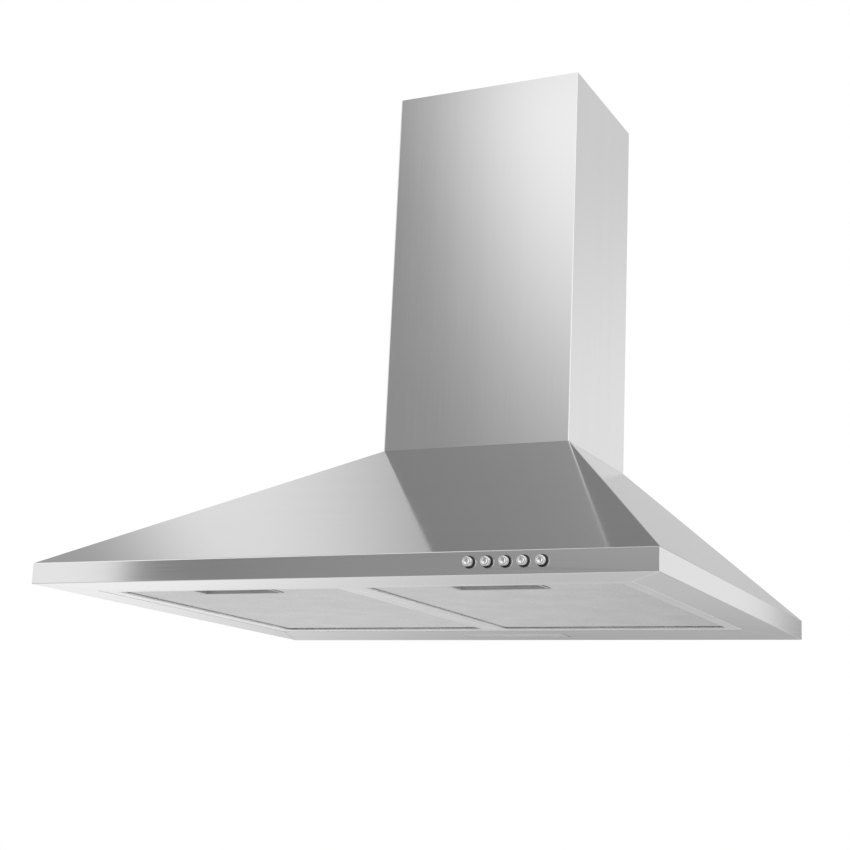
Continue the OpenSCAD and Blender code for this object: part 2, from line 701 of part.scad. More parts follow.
// A filter: a channel frame, a perforated sheet, a pleated foil and a handle
module filter_ring(side, edge, w, low, high) difference() {
    box([filter_x(side) + edge, filter_y + edge, low],
        [filter_w - 2 * edge, filter_d - 2 * edge, high - low]);
    box([filter_x(side) + edge + w, filter_y + edge + w, low - overrun],
        [filter_w - 2 * (edge + w), filter_d - 2 * (edge + w), high - low + 2 * overrun]);
}
module filter_frame(side) color("lightgray") difference() {
    union() {
        filter_ring(side, 0, filter_wall, filter_z, filter_z + filter_h);
        filter_ring(side, 0, filter_border, filter_z, filter_z + filter_wall);
        filter_ring(side, 0, filter_border, core_top, core_top + filter_wall);
        filter_ring(side, filter_border - filter_wall, filter_wall, filter_z, mesh_z);
        for (x = [lug_inset, filter_w - lug_inset])
            mid_box(filter_x(side) + x, filter_y + filter_d - filter_wall, hem_top + seat_gap,
                [lug_w, filter_wall + lug_out, lug_t]);
    }
    mid_box(filter_mid(side), filter_y - overrun, nose_z - seat_gap,
        [tongue_w + 2 * slot_clear, filter_wall + 2 * overrun, tongue_z + tongue_t - nose_z + 2 * seat_gap]);
}
// Staggered diamond slots in a sheet that rests on the border's edge, left out round the cup
mesh_edge = filter_border - filter_wall;
module filter_mesh(side) color("silver") difference() {
    box([filter_x(side) + mesh_edge, filter_y + mesh_edge, mesh_z],
        [filter_w - 2 * mesh_edge, filter_d - 2 * mesh_edge, mesh_t]);
    translate([filter_x(side) + filter_border, filter_y + filter_border, mesh_z - overrun])
        linear_extrude(mesh_t + 2 * overrun) mesh_slots();
    cup_hole(side, mesh_z);
}
mesh_w = filter_w - 2 * filter_border;
mesh_d = filter_d - 2 * filter_border;
slot_px = mesh_w / mesh_cols;
slot_py = mesh_d / mesh_rows;
module mesh_slots() for (r = [0 : mesh_rows - 1], c = [0 : mesh_cols - 1 - r % 2])
    let (x = (c + 0.5 + r % 2 / 2) * slot_px, y = (r + 0.5) * slot_py)
        if (abs(x - mesh_w / 2) > (cup_w + slot_px) / 2 || y > cup_end + slot_py / 2)
            translate([x, y]) polygon([[-slot_px * slot_share / 2, 0], [0, -slot_py * slot_share / 2],
                [slot_px * slot_share / 2, 0], [0, slot_py * slot_share / 2]]);
// Back edge of the cup, from the mesh's front edge
cup_end = cup_y + cup_d - filter_y - filter_border;
// A rounded rectangle, inset from the cup's outline
module cup_outline(inset) {
    r = cup_r - inset;
    square([cup_w - 2 * inset, cup_d - 2 * inset - 2 * r], center = true);
    square([cup_w - 2 * inset - 2 * r, cup_d - 2 * inset], center = true);
    for (s = [-1, 1], t = [-1, 1]) translate([s * (cup_w / 2 - cup_r), t * (cup_d / 2 - cup_r)]) circle(r);
}
module cup_block(side, inset, low, high)
    translate([filter_mid(side), cup_y + cup_d / 2, low]) linear_extrude(high - low) cup_outline(inset);
module cup_hole(side, low)
    cup_block(side, cup_rim - seat_gap, low - overrun, low + filter_h + overrun);
// The pleated foil that catches the grease: one zigzag across the filter's width
pleat_h = core_top - core_z - seat_gap;
core_edge = filter_wall + seat_gap;
pleat_w = (filter_w - 2 * core_edge) / pleat_count;
foil_rise = foil_t * sqrt(pleat_w * pleat_w + pleat_h * pleat_h) / pleat_w;
function pleat(i, lift) = [i * pleat_w, (i % 2) * (pleat_h - foil_rise) + lift];
module filter_core(side) color("darkgray") difference() {
    translate([filter_x(side) + core_edge, 0, core_z])
        along_y(filter_y + core_edge, filter_d - 2 * core_edge) polygon(concat(
            [for (i = [0 : pleat_count]) pleat(i, 0)],
            [for (i = [pleat_count : -1 : 0]) pleat(i, foil_rise)]));
    cup_hole(side, core_z);
    mid_box(filter_mid(side), filter_y, core_z - overrun,
        [shoulder_w + 2 * slot_clear, cup_y + cup_r - filter_y, filter_h + 2 * overrun]);
}
// The moulded cup that the fingers reach into
module filter_cup(side) color("gray") difference() {
    union() {
        cup_block(side, 0, rim_z, mesh_z);
        cup_block(side, cup_rim, rim_z, cup_top);
    }
    cup_block(side, cup_rim + cup_wall, rim_z - overrun, cup_top - cup_wall);
    mid_box(filter_mid(side), cup_y + cup_rim - overrun, tongue_z - seat_gap,
        [tongue_w + 2 * slot_clear, cup_wall + 2 * overrun, tongue_t + 2 * seat_gap]);
}
// The sliding latch: a finger tab in the cup and a tongue whose nose rests on the front strip
module filter_latch(side) color("dimgray") {
    mid_box(filter_mid(side), tab_y, rim_z + latch_gap,
        [tab_w, tab_d, tongue_z + tab_h - rim_z - latch_gap]);
    mid_box(filter_mid(side), shoulder_y, tongue_z,
        [tongue_w, tab_y + tab_d - shoulder_y, tongue_t]);
    mid_box(filter_mid(side), -open_front - tongue_out, nose_z,
        [tongue_w, shoulder_y + shoulder_d + open_front + tongue_out, tongue_z + tongue_t - nose_z]);
    mid_box(filter_mid(side), shoulder_y, tongue_z, [shoulder_w, shoulder_d, tab_h]);
}
module filter_springs(side) color("silver") for (s = [-1, 1])
    translate([filter_mid(side) + s * latch_spring_x, shoulder_y + shoulder_d,
        tongue_z + latch_spring_r + latch_wire_r]) rotate([-90, 0, 0])
        coil(latch_spring_r, latch_wire_r, spring_turns + 2, cup_y + cup_rim - shoulder_y - shoulder_d);
module filter_left_frame() filter_frame(-1);
module filter_left_mesh() filter_mesh(-1);
module filter_left_core() filter_core(-1);
module filter_left_cup() filter_cup(-1);
module filter_left_latch() filter_latch(-1);
module filter_left_springs() filter_springs(-1);
module filter_right_frame() filter_frame(1);
module filter_right_mesh() filter_mesh(1);
module filter_right_core() filter_core(1);
module filter_right_cup() filter_cup(1);
module filter_right_latch() filter_latch(1);
module filter_right_springs() filter_springs(1);

// The blower's spiral casing in two moulded halves, with ears that hang it from the top plate
module casing_half(side) color("slategray") mirror([side < 0 ? 1 : 0, 0, 0]) difference() {
    union() {
        translate([0, impeller_y, impeller_z]) along_x(0, casing_out)
            polygon(volute(casing_wall, mouth_z));
        box([casing_out - casing_wall, mouth_front, top_plate_z - ear_t],
            [casing_wall + ear_w, mouth_back - mouth_front, ear_t]);
    }
    translate([0, impeller_y, impeller_z]) {
        along_x(-overrun, casing_in + overrun) polygon(volute(0, mouth_z + overrun));
        rod_x(inlet_r + throat_wall + throat_gap, casing_in - overrun, casing_wall + 2 * overrun);
    }
    ear_screw_places() screw_hole(ear_t);
}
module casing_left() casing_half(-1);
module casing_right() casing_half(1);
module ear_screw_places() for (s = [-1, 1], y = [mouth_front + ear_in, mouth_back - ear_in])
    translate([s * (casing_out + ear_w / 2), y, top_plate_z - ear_t]) children();
module blower_screws() color("darkgray") ear_screw_places() screw(ear_t + top_plate_t + screw_r);

// A flared ring in each inlet; the left one has a guard and the right one carries the motor
module inlet_ring(side) color("dimgray") translate([0, impeller_y, impeller_z])
    mirror([side < 0 ? 1 : 0, 0, 0]) difference() {
        rotate([0, 90, 0]) rotate_extrude() polygon([[inlet_r, throat_in],
            [inlet_r + throat_wall, throat_in], [inlet_r + throat_wall, casing_out],
            [inlet_out_r, casing_out], [inlet_out_r, casing_out + inlet_t],
            [inlet_r + 2 * inlet_t, casing_out + inlet_t], [inlet_r + inlet_t / 2, casing_out],
            [inlet_r, casing_out - inlet_t]]);
        if (side > 0) arm_places() translate([casing_out - overrun, 0, 0]) rotate([0, 90, 0])
            translate([0, 0, overrun]) screw_hole(inlet_t);
    }
module inlet_ring_left() inlet_ring(-1);
module inlet_ring_right() inlet_ring(1);
module ring_2d(r, w) difference() {
    circle(r);
    circle(r - w);
}
module inlet_guard() color("dimgray") translate([0, impeller_y, impeller_z])
    along_x(-casing_out - 2 * inlet_t, inlet_t) {
        difference() {
            circle(inlet_out_r);
            circle(inlet_out_r - 2 * guard_bar);
        }
        for (i = [1 : guard_rings - 1]) ring_2d(i * inlet_out_r / guard_rings, guard_bar);
        for (i = [0 : spoke_count - 1]) rotate(360 * i / spoke_count)
            translate([0, -guard_bar / 2]) square([inlet_out_r - guard_bar, guard_bar]);
    }

// The motor sits inside the right half of the impeller, held by a three-armed bracket
module arm_places() for (i = [0 : arm_count - 1]) rotate([360 * i / arm_count + 90, 0, 0])
    translate([0, (inlet_r + 2 * inlet_t + inlet_out_r) / 2, 0]) children();
module motor_can() color("lightgray") translate([0, impeller_y, impeller_z]) difference() {
    union() {
        rod_x(motor_r, motor_x + cap_t, motor_l - 2 * cap_t);
        for (x = [motor_x, motor_end - cap_t]) rod_x(motor_r - cap_t, x, cap_t);
        rod_x(hub_r, motor_x - cap_t / 2, cap_t);
    }
    rod_x(shaft_r + shaft_gap, motor_x - overrun - cap_t, shaft_depth + overrun + cap_t);
}
module motor_bracket() color("gainsboro") translate([0, impeller_y, impeller_z]) difference() {
    union() {
        rod_x(motor_r + arm_t, casing_out + inlet_t, arm_t);
        for (i = [0 : arm_count - 1]) rotate([360 * i / arm_count + 90, 0, 0])
            box([casing_out + inlet_t, 0, -arm_w / 2], [arm_t, inlet_out_r - inlet_t, arm_w]);
    }
    rod_x(motor_r, casing_out + inlet_t - overrun, arm_t + 2 * overrun);
    arm_places() translate([casing_out + inlet_t - overrun, 0, 0]) rotate([0, 90, 0])
        translate([0, 0, overrun]) screw_hole(arm_t);
}
module motor_screws() color("darkgray") translate([0, impeller_y, impeller_z]) arm_places()
    translate([casing_out + inlet_t + arm_t, 0, 0]) rotate([0, -90, 0]) screw(arm_t + inlet_t);

// The impeller: forward-curved blades on both sides of a middle plate, with an end ring each
function blade_point(t, s) = let (
    r = blade_in_r + (impeller_r - blade_t / 2 - blade_in_r) * t,
    a = -blade_sweep * t * t + s * blade_t / 2 / r * 180 / PI) r * [cos(a), sin(a)];
blade_steps = 4;
blade_shape = concat([for (i = [0 : blade_steps]) blade_point(i / blade_steps, 1)],
    [for (i = [blade_steps : -1 : 0]) blade_point(i / blade_steps, -1)]);
module impeller() color("slategray") translate([0, impeller_y, impeller_z]) {
    difference() {
        rod_x(impeller_r, -plate_t / 2, plate_t);
        rod_x(hub_r, -plate_t / 2 - overrun, plate_t + 2 * overrun);
    }
    for (s = [-1, 1]) {
        for (i = [0 : blade_count - 1]) rotate([360 * i / blade_count, 0, 0])
            along_x(s > 0 ? plate_t / 2 : -plate_t / 2 - blade_l, blade_l) polygon(blade_shape);
        along_x(s > 0 ? plate_t / 2 + blade_l : -plate_t / 2 - blade_l - plate_t, plate_t)
            ring_2d(impeller_r, impeller_r - blade_in_r);
    }
}
module wheel_hub() color("darkgray") translate([0, impeller_y, impeller_z]) difference() {
    rod_x(hub_r, -hub_end, 2 * hub_end);
    rod_x(shaft_r, -hub_end - overrun, 2 * (hub_end + overrun));
}
module motor_shaft() color("silver") translate([0, impeller_y, impeller_z])
    rod_x(shaft_r, -hub_end, hub_end + motor_x + shaft_depth - shaft_r);

// The collar on the blower's mouth, the pin across it and the two backdraft flaps
module outlet_collar() color("dimgray") translate([0, mouth_y, 0]) difference() {
    union() {
        mid_box(0, mouth_front - mouth_y - base_edge / 2, base_z,
            [2 * (casing_out + base_edge), mouth_back - mouth_front + base_edge, base_t]);
        translate([0, 0, base_z]) cylinder(r = collar_r, h = base_t + collar_h);
    }
    translate([0, 0, base_z - overrun]) cylinder(r = collar_in - ledge_w, h = collar_h);
    translate([0, 0, base_z - overrun])
        cylinder(r = collar_in, h = pin_z - base_z - flap_t / 2 - seat_gap - ledge_t + overrun);
    translate([0, 0, pin_z - flap_t / 2 - seat_gap])
        cylinder(r = collar_in, h = collar_h + overrun);
    translate([0, 0, pin_z]) rod_x(pin_r + pin_gap, -collar_r - overrun, 2 * (collar_r + overrun));
    for (s = [-1, 1], t = [-1, 1]) translate([s * casing_out, t * (mouth_back - mouth_y), base_z])
        screw_hole(base_t);
}
module flap_pin() color("silver") translate([0, mouth_y, pin_z])
    rod_x(pin_r, -collar_r + seat_gap, 2 * (collar_r - seat_gap));
// A half disc that swings up from the pin on two knuckles, the two flaps' knuckles taking turns;
// turn is 0 for the front flap and 1 for the rear one
function knuckle_x(i) = (i - knuckle_slots / 2) * (knuckle_l + knuckle_gap) + knuckle_gap / 2;
module flap(turn) color("gray") translate([0, mouth_y, pin_z]) mirror([0, turn, 0]) difference() {
    union() {
        intersection() {
            translate([0, 0, -flap_t / 2]) cylinder(r = flap_r, h = flap_t);
            box([-collar_r, -collar_r, -flap_t], [2 * collar_r, collar_r - flap_start, 2 * flap_t]);
        }
        for (i = [turn : 2 : knuckle_slots - 1]) {
            rod_x(knuckle_r, knuckle_x(i), knuckle_l);
            box([knuckle_x(i), -flap_start - overrun, -flap_t / 2],
                [knuckle_l, flap_start + overrun, flap_t]);
        }
    }
    rod_x(pin_r + pin_gap, -collar_r, 2 * collar_r);
}
module flap_front() flap(0);
module flap_rear() flap(1);
module collar_screws() color("darkgray") translate([0, mouth_y, 0])
    for (s = [-1, 1], t = [-1, 1])
        translate([s * casing_out, t * (mouth_back - mouth_y), base_z + base_t]) mirror([0, 0, 1])
            screw(base_t);

// The electrics: a box for the mains terminals, the motor's capacitor and the cable gland
box_x = casing_out + ear_w + 2 * inlet_t;
module control_box() color("white") {
    difference() {
        box([box_x, -sheet_t - box_d, box_z], [box_w, box_d, box_h]);
        box([box_x - overrun, -sheet_t - box_d - overrun, box_z - overrun],
            [box_w + 2 * overrun, box_lid_t + overrun, box_wall + overrun]);
    }
}
module capacitor() {
    color("whitesmoke") translate([-box_x - capacitor_l, -sheet_t - strap_t - capacitor_r, box_z + box_h / 2])
        rod_x(capacitor_r, 0, capacitor_l);
    color("silver") translate([-box_x - capacitor_l / 2 - strap_w / 2, -sheet_t - strap_t, box_z])
        cube([strap_w, strap_t, box_h]);
}
module cable_gland() color("dimgray") translate([gland_x, gland_y, 0]) difference() {
    union() {
        translate([0, 0, top_plate_z - gland_collar])
            cylinder(r = gland_r, h = 2 * gland_collar + top_plate_t + gland_up);
        for (z = [top_plate_z - gland_collar, top_plate_z + top_plate_t]) translate([0, 0, z])
            cylinder(r = gland_r * 4 / 3, h = gland_collar, $fn = 6);
    }
    translate([0, 0, top_plate_z - gland_collar - overrun])
        cylinder(r = gland_r / 2, h = 2 * gland_collar + top_plate_t + gland_up + 2 * overrun);
}

canopy_shell();
back_panel();
front_flange();
rear_flange();
left_flange();
right_flange();
top_frame();
chimney_neck();
hanger_plates();
chimney_cover();
switch_block();
button_guides();
button_springs();
lamp_housing();
lamp_lens();
lamp_board();
lamp_clips();
casing_left();
casing_right();
inlet_ring_left();
inlet_ring_right();
inlet_guard();
motor_can();
motor_bracket();
motor_screws();
blower_screws();
outlet_collar();
flap_pin();
collar_screws();
control_box();
cable_gland();
capacitor();
chimney_upper();
chimney_bracket();
bracket_screws();
filter_left_frame();
filter_left_mesh();
filter_left_core();
filter_left_cup();
filter_left_latch();
filter_left_springs();
filter_right_frame();
filter_right_mesh();
filter_right_core();
filter_right_cup();
filter_right_latch();
filter_right_springs();
button_off();
button_speed_1();
button_speed_2();
button_speed_3();
button_light();
impeller();
wheel_hub();
motor_shaft();
flap_front();
flap_rear();
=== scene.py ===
# Looks of a wall-mounted chimney range hood in brushed stainless steel. Metres, with the origin on
# the wall plane at the canopy's bottom edge: X to the right, Y into the wall, Z up.
import json
from math import cos, pi, radians, sin

import bmesh
import bpy
from mathutils import Matrix, Vector

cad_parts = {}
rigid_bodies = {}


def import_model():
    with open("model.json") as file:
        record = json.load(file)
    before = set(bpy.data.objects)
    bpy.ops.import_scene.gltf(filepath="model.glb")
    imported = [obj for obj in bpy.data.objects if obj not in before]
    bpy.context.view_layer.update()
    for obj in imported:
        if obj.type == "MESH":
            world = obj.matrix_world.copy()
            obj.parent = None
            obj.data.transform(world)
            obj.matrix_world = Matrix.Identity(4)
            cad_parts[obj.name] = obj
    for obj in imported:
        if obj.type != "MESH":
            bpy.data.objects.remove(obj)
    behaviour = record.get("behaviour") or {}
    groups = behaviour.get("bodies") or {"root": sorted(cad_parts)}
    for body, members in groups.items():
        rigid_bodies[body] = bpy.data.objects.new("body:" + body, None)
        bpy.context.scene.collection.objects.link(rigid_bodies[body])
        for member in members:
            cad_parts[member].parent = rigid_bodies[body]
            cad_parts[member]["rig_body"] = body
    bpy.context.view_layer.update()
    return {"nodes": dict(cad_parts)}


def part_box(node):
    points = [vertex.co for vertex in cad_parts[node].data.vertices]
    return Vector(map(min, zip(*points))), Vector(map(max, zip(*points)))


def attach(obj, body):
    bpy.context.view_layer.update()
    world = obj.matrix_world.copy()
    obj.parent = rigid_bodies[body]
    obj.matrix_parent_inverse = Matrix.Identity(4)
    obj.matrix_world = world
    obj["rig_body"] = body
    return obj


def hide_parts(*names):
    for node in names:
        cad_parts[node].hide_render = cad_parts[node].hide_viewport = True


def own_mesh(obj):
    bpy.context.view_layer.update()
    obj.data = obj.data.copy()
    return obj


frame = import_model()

# The viewpoint of the photograph: below the lip and to the right of the middle, looking up at
# the underside, with the camera leaning a little to one side.
turn, rise, lean = radians(25.9896), radians(13.1498), radians(2.6305)
ahead = Vector((-sin(turn) * cos(rise), cos(turn) * cos(rise), sin(rise)))
level = ahead.cross(Vector((0, 0, 1))).normalized()
upright = level.cross(ahead)
camera = bpy.data.objects.new("camera", bpy.data.cameras.new("camera"))
camera.matrix_world = Matrix((
    cos(lean) * level + sin(lean) * upright,
    cos(lean) * upright - sin(lean) * level,
    -ahead)).transposed().to_4x4()
camera.location = (0.66483, -1.6554, -0.17653)
camera.data.sensor_width = 36
camera.data.lens = 67.706
bpy.context.scene.collection.objects.link(camera)
bpy.context.scene.camera = camera


# The studio: a white surround with soft boxes and dark flags standing round the hood, which the
# steel mirrors. All other surfaces get the same plain light from every side.
class Wire:
    """A node's socket, which Python's operators carry on with Math nodes."""

    def __init__(self, tree, socket):
        self.tree, self.socket = tree, socket

    def maths(self, operation, *others):
        return self.tree.node("ShaderNodeMath", {"operation": operation},
            dict(enumerate((self,) + others)))

    def __add__(self, other):
        return self.maths("ADD", other)

    def __sub__(self, other):
        return self.maths("SUBTRACT", other)

    def __rsub__(self, other):
        return self * -1 + other

    def __mul__(self, other):
        return self.maths("MULTIPLY", other)

    def __truediv__(self, other):
        return self.maths("DIVIDE", other)

    __radd__ = __add__
    __rmul__ = __mul__


class Tree:
    """A node tree that is wired up from Python."""

    def __init__(self, tree):
        self.nodes, self.links = tree.nodes, tree.links
        self.nodes.clear()

    def node(self, kind, settings=None, inputs=None, output=0):
        made = self.nodes.new(kind)
        for name, value in (settings or {}).items():
            setattr(made, name, value)
        for name, value in (inputs or {}).items():
            for one in value if isinstance(value, list) else [value]:
                if isinstance(one, Wire):
                    self.links.new(one.socket, made.inputs[name])
                else:
                    made.inputs[name].default_value = one
        return Wire(self, made.outputs[output]) if made.outputs else None

    def ease(self, value, low, high):
        """0 below low and 1 above high, with a soft step between."""
        return self.node("ShaderNodeMapRange", {"interpolation_type": "SMOOTHSTEP"},
            {"Value": value, "From Min": low, "From Max": high})

    def blend(self, share, first, second):
        """One colour, turning into a second one as share grows from 0 to 1."""
        return self.node("ShaderNodeMix", {"data_type": "RGBA"}, {0: share, 6: first, 7: second}, 2)


def grey(value):
    return (value, value, value, 1.0)


bpy.context.scene.view_settings.view_transform = "Standard"
world = bpy.data.worlds.new("studio")
world.use_nodes = True
bpy.context.scene.world = world
studio = Tree(world.node_tree)
towards = studio.node("ShaderNodeTexCoord")
split = [studio.node("ShaderNodeSeparateXYZ", {}, {0: towards}, k) for k in range(3)]
east, north, up = split
height = up.maths("ARCSINE") * (180 / pi)
# Degrees to the right of straight ahead, on the viewer's side and on the wall's side
front = east.maths("ARCTAN2", -1 * north) * (180 / pi)
back = east.maths("ARCTAN2", north) * (180 / pi)
aside = front.maths("ABSOLUTE")
high = studio.ease(height, 24, 34)
# A box over the viewer, which the chimney's front mirrors
top_box = (studio.ease(aside - 0.2 * height.maths("MINIMUM", 24), 24.3, 16.5)
    * studio.ease(height, 5, 25) * (1 - 0.85 * high))
# Tall boxes on both sides, and a narrow strip light in the right one
side_box = (studio.ease(aside - 8 * high, 36.0, 36.8) * (1 - 0.35 * studio.ease(aside, 70, 110))
    * (1 - 0.4 * studio.ease(height, 2, -10)) + 0.8 * studio.ease(front, 52, 60)
    * studio.ease(front, 78, 70) * studio.ease(height, 3, 9) * studio.ease(height, 40, 32))
# Dark flags between the boxes, paler to the right of the middle
flag = (0.32 + 0.08 * studio.ease(aside, 35, 27) + 0.1 * high
    + 0.42 * studio.ease(front, -15, 11) * studio.ease(front, 60, 36) * (1 - top_box))
viewer_side = flag + 0.92 * top_box + 0.88 * side_box
# Beside the wall: on the left a flag with a box beyond it, and on the right a tall box
left = -1 * back
low_left = 0.39 + 0.24 * studio.ease(height, -5.2, -7.8) + 0.5 * studio.ease(left, 20, 39)
high_left = (0.33 + 0.62 * studio.ease(left - 0.35 * height, 13.5, 28.5)
    - 0.5 * studio.ease(left, 42, 48) + 0.3 * studio.ease(height, 26, 16))
left_side = low_left + (high_left - low_left) * studio.ease(height, 4, 14)
right_box = 1.04 - 0.2 * studio.ease(height, 13, 24) - 0.45 * studio.ease(height, 26, 38)
wall_side = left_side + (right_box - left_side) * studio.ease(back, 12.4, 14)
mirrored = wall_side + (viewer_side - wall_side) * studio.ease(north, 0.12, -0.12)
rays = {kind: studio.node("ShaderNodeLightPath", output=f"Is {kind} Ray")
    for kind in ("Camera", "Glossy", "Transmission")}
seen = rays["Camera"] + rays["Transmission"]
plain = 0.72
surround = plain + (1 - plain) * seen + (mirrored - plain) * rays["Glossy"]
studio.node("ShaderNodeOutputWorld", inputs={"Surface": studio.node(
    "ShaderNodeBackground", inputs={"Color": grey(1), "Strength": surround})})


# A pale floor well under the hood. It keeps the hood's soft shadow and fades into the white
# surround, and polished surfaces see the studio through it.
def linked(name, mesh):
    """A new object in the scene."""
    made = bpy.data.objects.new(name, mesh)
    bpy.context.scene.collection.objects.link(made)
    return made


class Finish(Tree):
    """A material round one shader, whose steady values stand on the shader's own sockets."""

    def __init__(self, name, shader="ShaderNodeBsdfPrincipled", **values):
        self.material = bpy.data.materials.new(name)
        self.material.use_nodes = True
        super().__init__(self.material.node_tree)
        self.shader = self.nodes.new(shader)
        self.closing = self.nodes.new("ShaderNodeOutputMaterial")
        self.links.new(self.shader.outputs[0], self.closing.inputs["Surface"])
        self.place = self.node("ShaderNodeTexCoord", output="Object")
        for label, value in values.items():
            self.put(label.replace("_", " "), value)

    def put(self, label, value):
        if isinstance(value, Wire):
            self.links.new(value.socket, self.shader.inputs[label])
        else:
            self.shader.inputs[label].default_value = value

    def noise(self, size, detail=2.0):
        """Cloudy noise whose features are size metres, one number or one for each axis."""
        sizes = size if isinstance(size, tuple) else (size, size, size)
        at = self.node("ShaderNodeMapping", inputs={
            "Vector": self.place, "Scale": tuple(1 / s for s in sizes)})
        return self.node("ShaderNodeTexNoise", inputs={
            "Vector": at, "Scale": 1.0, "Detail": detail})

    def bump(self, relief, depth):
        """Relief whose full height is depth metres."""
        self.put("Normal", self.node("ShaderNodeBump", inputs={
            "Height": relief, "Distance": depth}))


ground = Finish("studio floor", "ShaderNodeBsdfDiffuse", Color=grey(0.88))
split = [ground.node("ShaderNodeSeparateXYZ", {}, {0: ground.place}, k) for k in range(2)]
spread = (split[0] * split[0] + split[1] * split[1]).maths("SQRT")
polished = ground.node("ShaderNodeLightPath", output="Is Glossy Ray")
under = ground.node("ShaderNodeNewGeometry", output="Backfacing")
shown = (1 - polished) * (1 - under) * ground.ease(spread, 5.5, 1.2)
clear = ground.node("ShaderNodeBsdfTransparent")
mixed = ground.node("ShaderNodeMixShader", inputs={
    0: shown, 1: clear, 2: Wire(ground, ground.shader.outputs[0])})
ground.links.new(mixed.socket, ground.closing.inputs["Surface"])
disc = bmesh.new()
bmesh.ops.create_circle(disc, cap_ends=True, radius=6, segments=96,
    matrix=Matrix.Translation((0, -0.25, -0.65)))
mesh = bpy.data.meshes.new("floor")
disc.to_mesh(mesh)
mesh.materials.append(ground.material)
floor = linked("floor", mesh)

lamp = bpy.data.lights.new("soft box", "AREA")
lamp.shape, lamp.size, lamp.energy = "DISK", 2.2, 22
soft_box = linked("soft box", lamp)
soft_box.location = (-1.3, -2.3, 2.3)
inwards = Vector((0, -0.25, 0.2)) - soft_box.location
soft_box.rotation_euler = inwards.to_track_quat("-Z", "Y").to_euler()
soft_box.visible_glossy = False


# The canopy: one skin of 0.8 mm stainless steel, folded into a lip and a low pyramid and open at
# the back. It is brushed from side to side on the front, and from front to back on the sides.
def brushed(name, along):
    """Stainless steel whose brushing runs along one axis: 0 for X, 1 for Y and 2 for Z."""
    steel = Finish(name, Metallic=1.0)

    def streaks(length, width):
        return steel.noise(tuple(length if k == along else width for k in range(3)))

    fine, broad = streaks(length=0.09, width=0.0004), streaks(length=0.5, width=0.014)
    haze = steel.noise(0.16)
    mark = 0.5 * fine + 0.25 * broad + 0.25 * haze
    steel.put("Base Color", steel.blend(steel.ease(mark, 0.3, 0.7), grey(0.635), grey(0.665)))
    steel.put("Roughness", 0.055 + 0.05 * steel.ease(mark, 0.25, 0.75))
    steel.bump(fine, 0.0000025)
    return steel.material


def stands_for(piece, nodes, body):
    """Puts a piece in the place of CAD nodes, on their body."""
    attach(piece, body)
    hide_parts(*nodes)
    return piece


def dressed(name, nodes, finishes, width, pick=None, widths=None):
    """A clean copy of CAD solids that stands for them, with edges rounded over a width. pick
    gives a face's finish, and widths an edge's own width where it isn't the usual one."""
    form = bmesh.new()
    for node in nodes:
        form.from_mesh(frame["nodes"][node].data)
    bmesh.ops.remove_doubles(form, verts=form.verts, dist=1e-6)
    # Triangles that lie flat together become one face where their outline is one convex loop
    aligned, no_turn = 0.99999, -1e-12
    flats, region = [], {}
    for start in form.faces:
        if start in region:
            continue
        flat, region[start] = [start], start
        for face in flat:
            for edge in face.edges:
                for other in edge.link_faces:
                    if other not in region and other.normal.dot(start.normal) > aligned:
                        flat.append(other)
                        region[other] = start
        after = {}
        for loop in (loop for face in flat for loop in face.loops):
            if sum(region.get(face) is start for face in loop.edge.link_faces) == 1:
                after[loop.vert] = loop.link_loop_next.vert
        around = list(after)[:1]
        while around and after[around[-1]] is not around[0] and len(around) <= len(after):
            around.append(after[around[-1]])
        convex = all((b.co - a.co).cross(after[b].co - b.co).dot(start.normal) > no_turn
            for a, b in after.items())
        if len(flat) > 1 and convex and len(around) == len(after):
            flats.append(flat)
    for flat in flats:
        bmesh.ops.dissolve_faces(form, faces=flat, use_verts=False)
    bmesh.ops.join_triangles(form, faces=form.faces, angle_face_threshold=radians(0.5),
        angle_shape_threshold=radians(85))
    form.verts.index_update()
    mesh = bpy.data.meshes.new(name)
    mesh.from_pydata([v.co for v in form.verts], [],
        [[v.index for v in face.verts] for face in form.faces])
    form.free()
    for finish in finishes:
        mesh.materials.append(finish)
    for face in mesh.polygons:
        face.use_smooth = True
        if pick:
            face.material_index = pick(face)
    piece = rounded(name, mesh, width, widths or {})
    boxes = [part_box(node) for node in nodes]
    for vertex in piece.data.vertices:
        vertex.co = [min(max(vertex.co[k], min(low[k] for low, high in boxes)),
            max(high[k] for low, high in boxes)) for k in range(3)]
    return stands_for(piece, nodes, frame["nodes"][nodes[0]]["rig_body"])


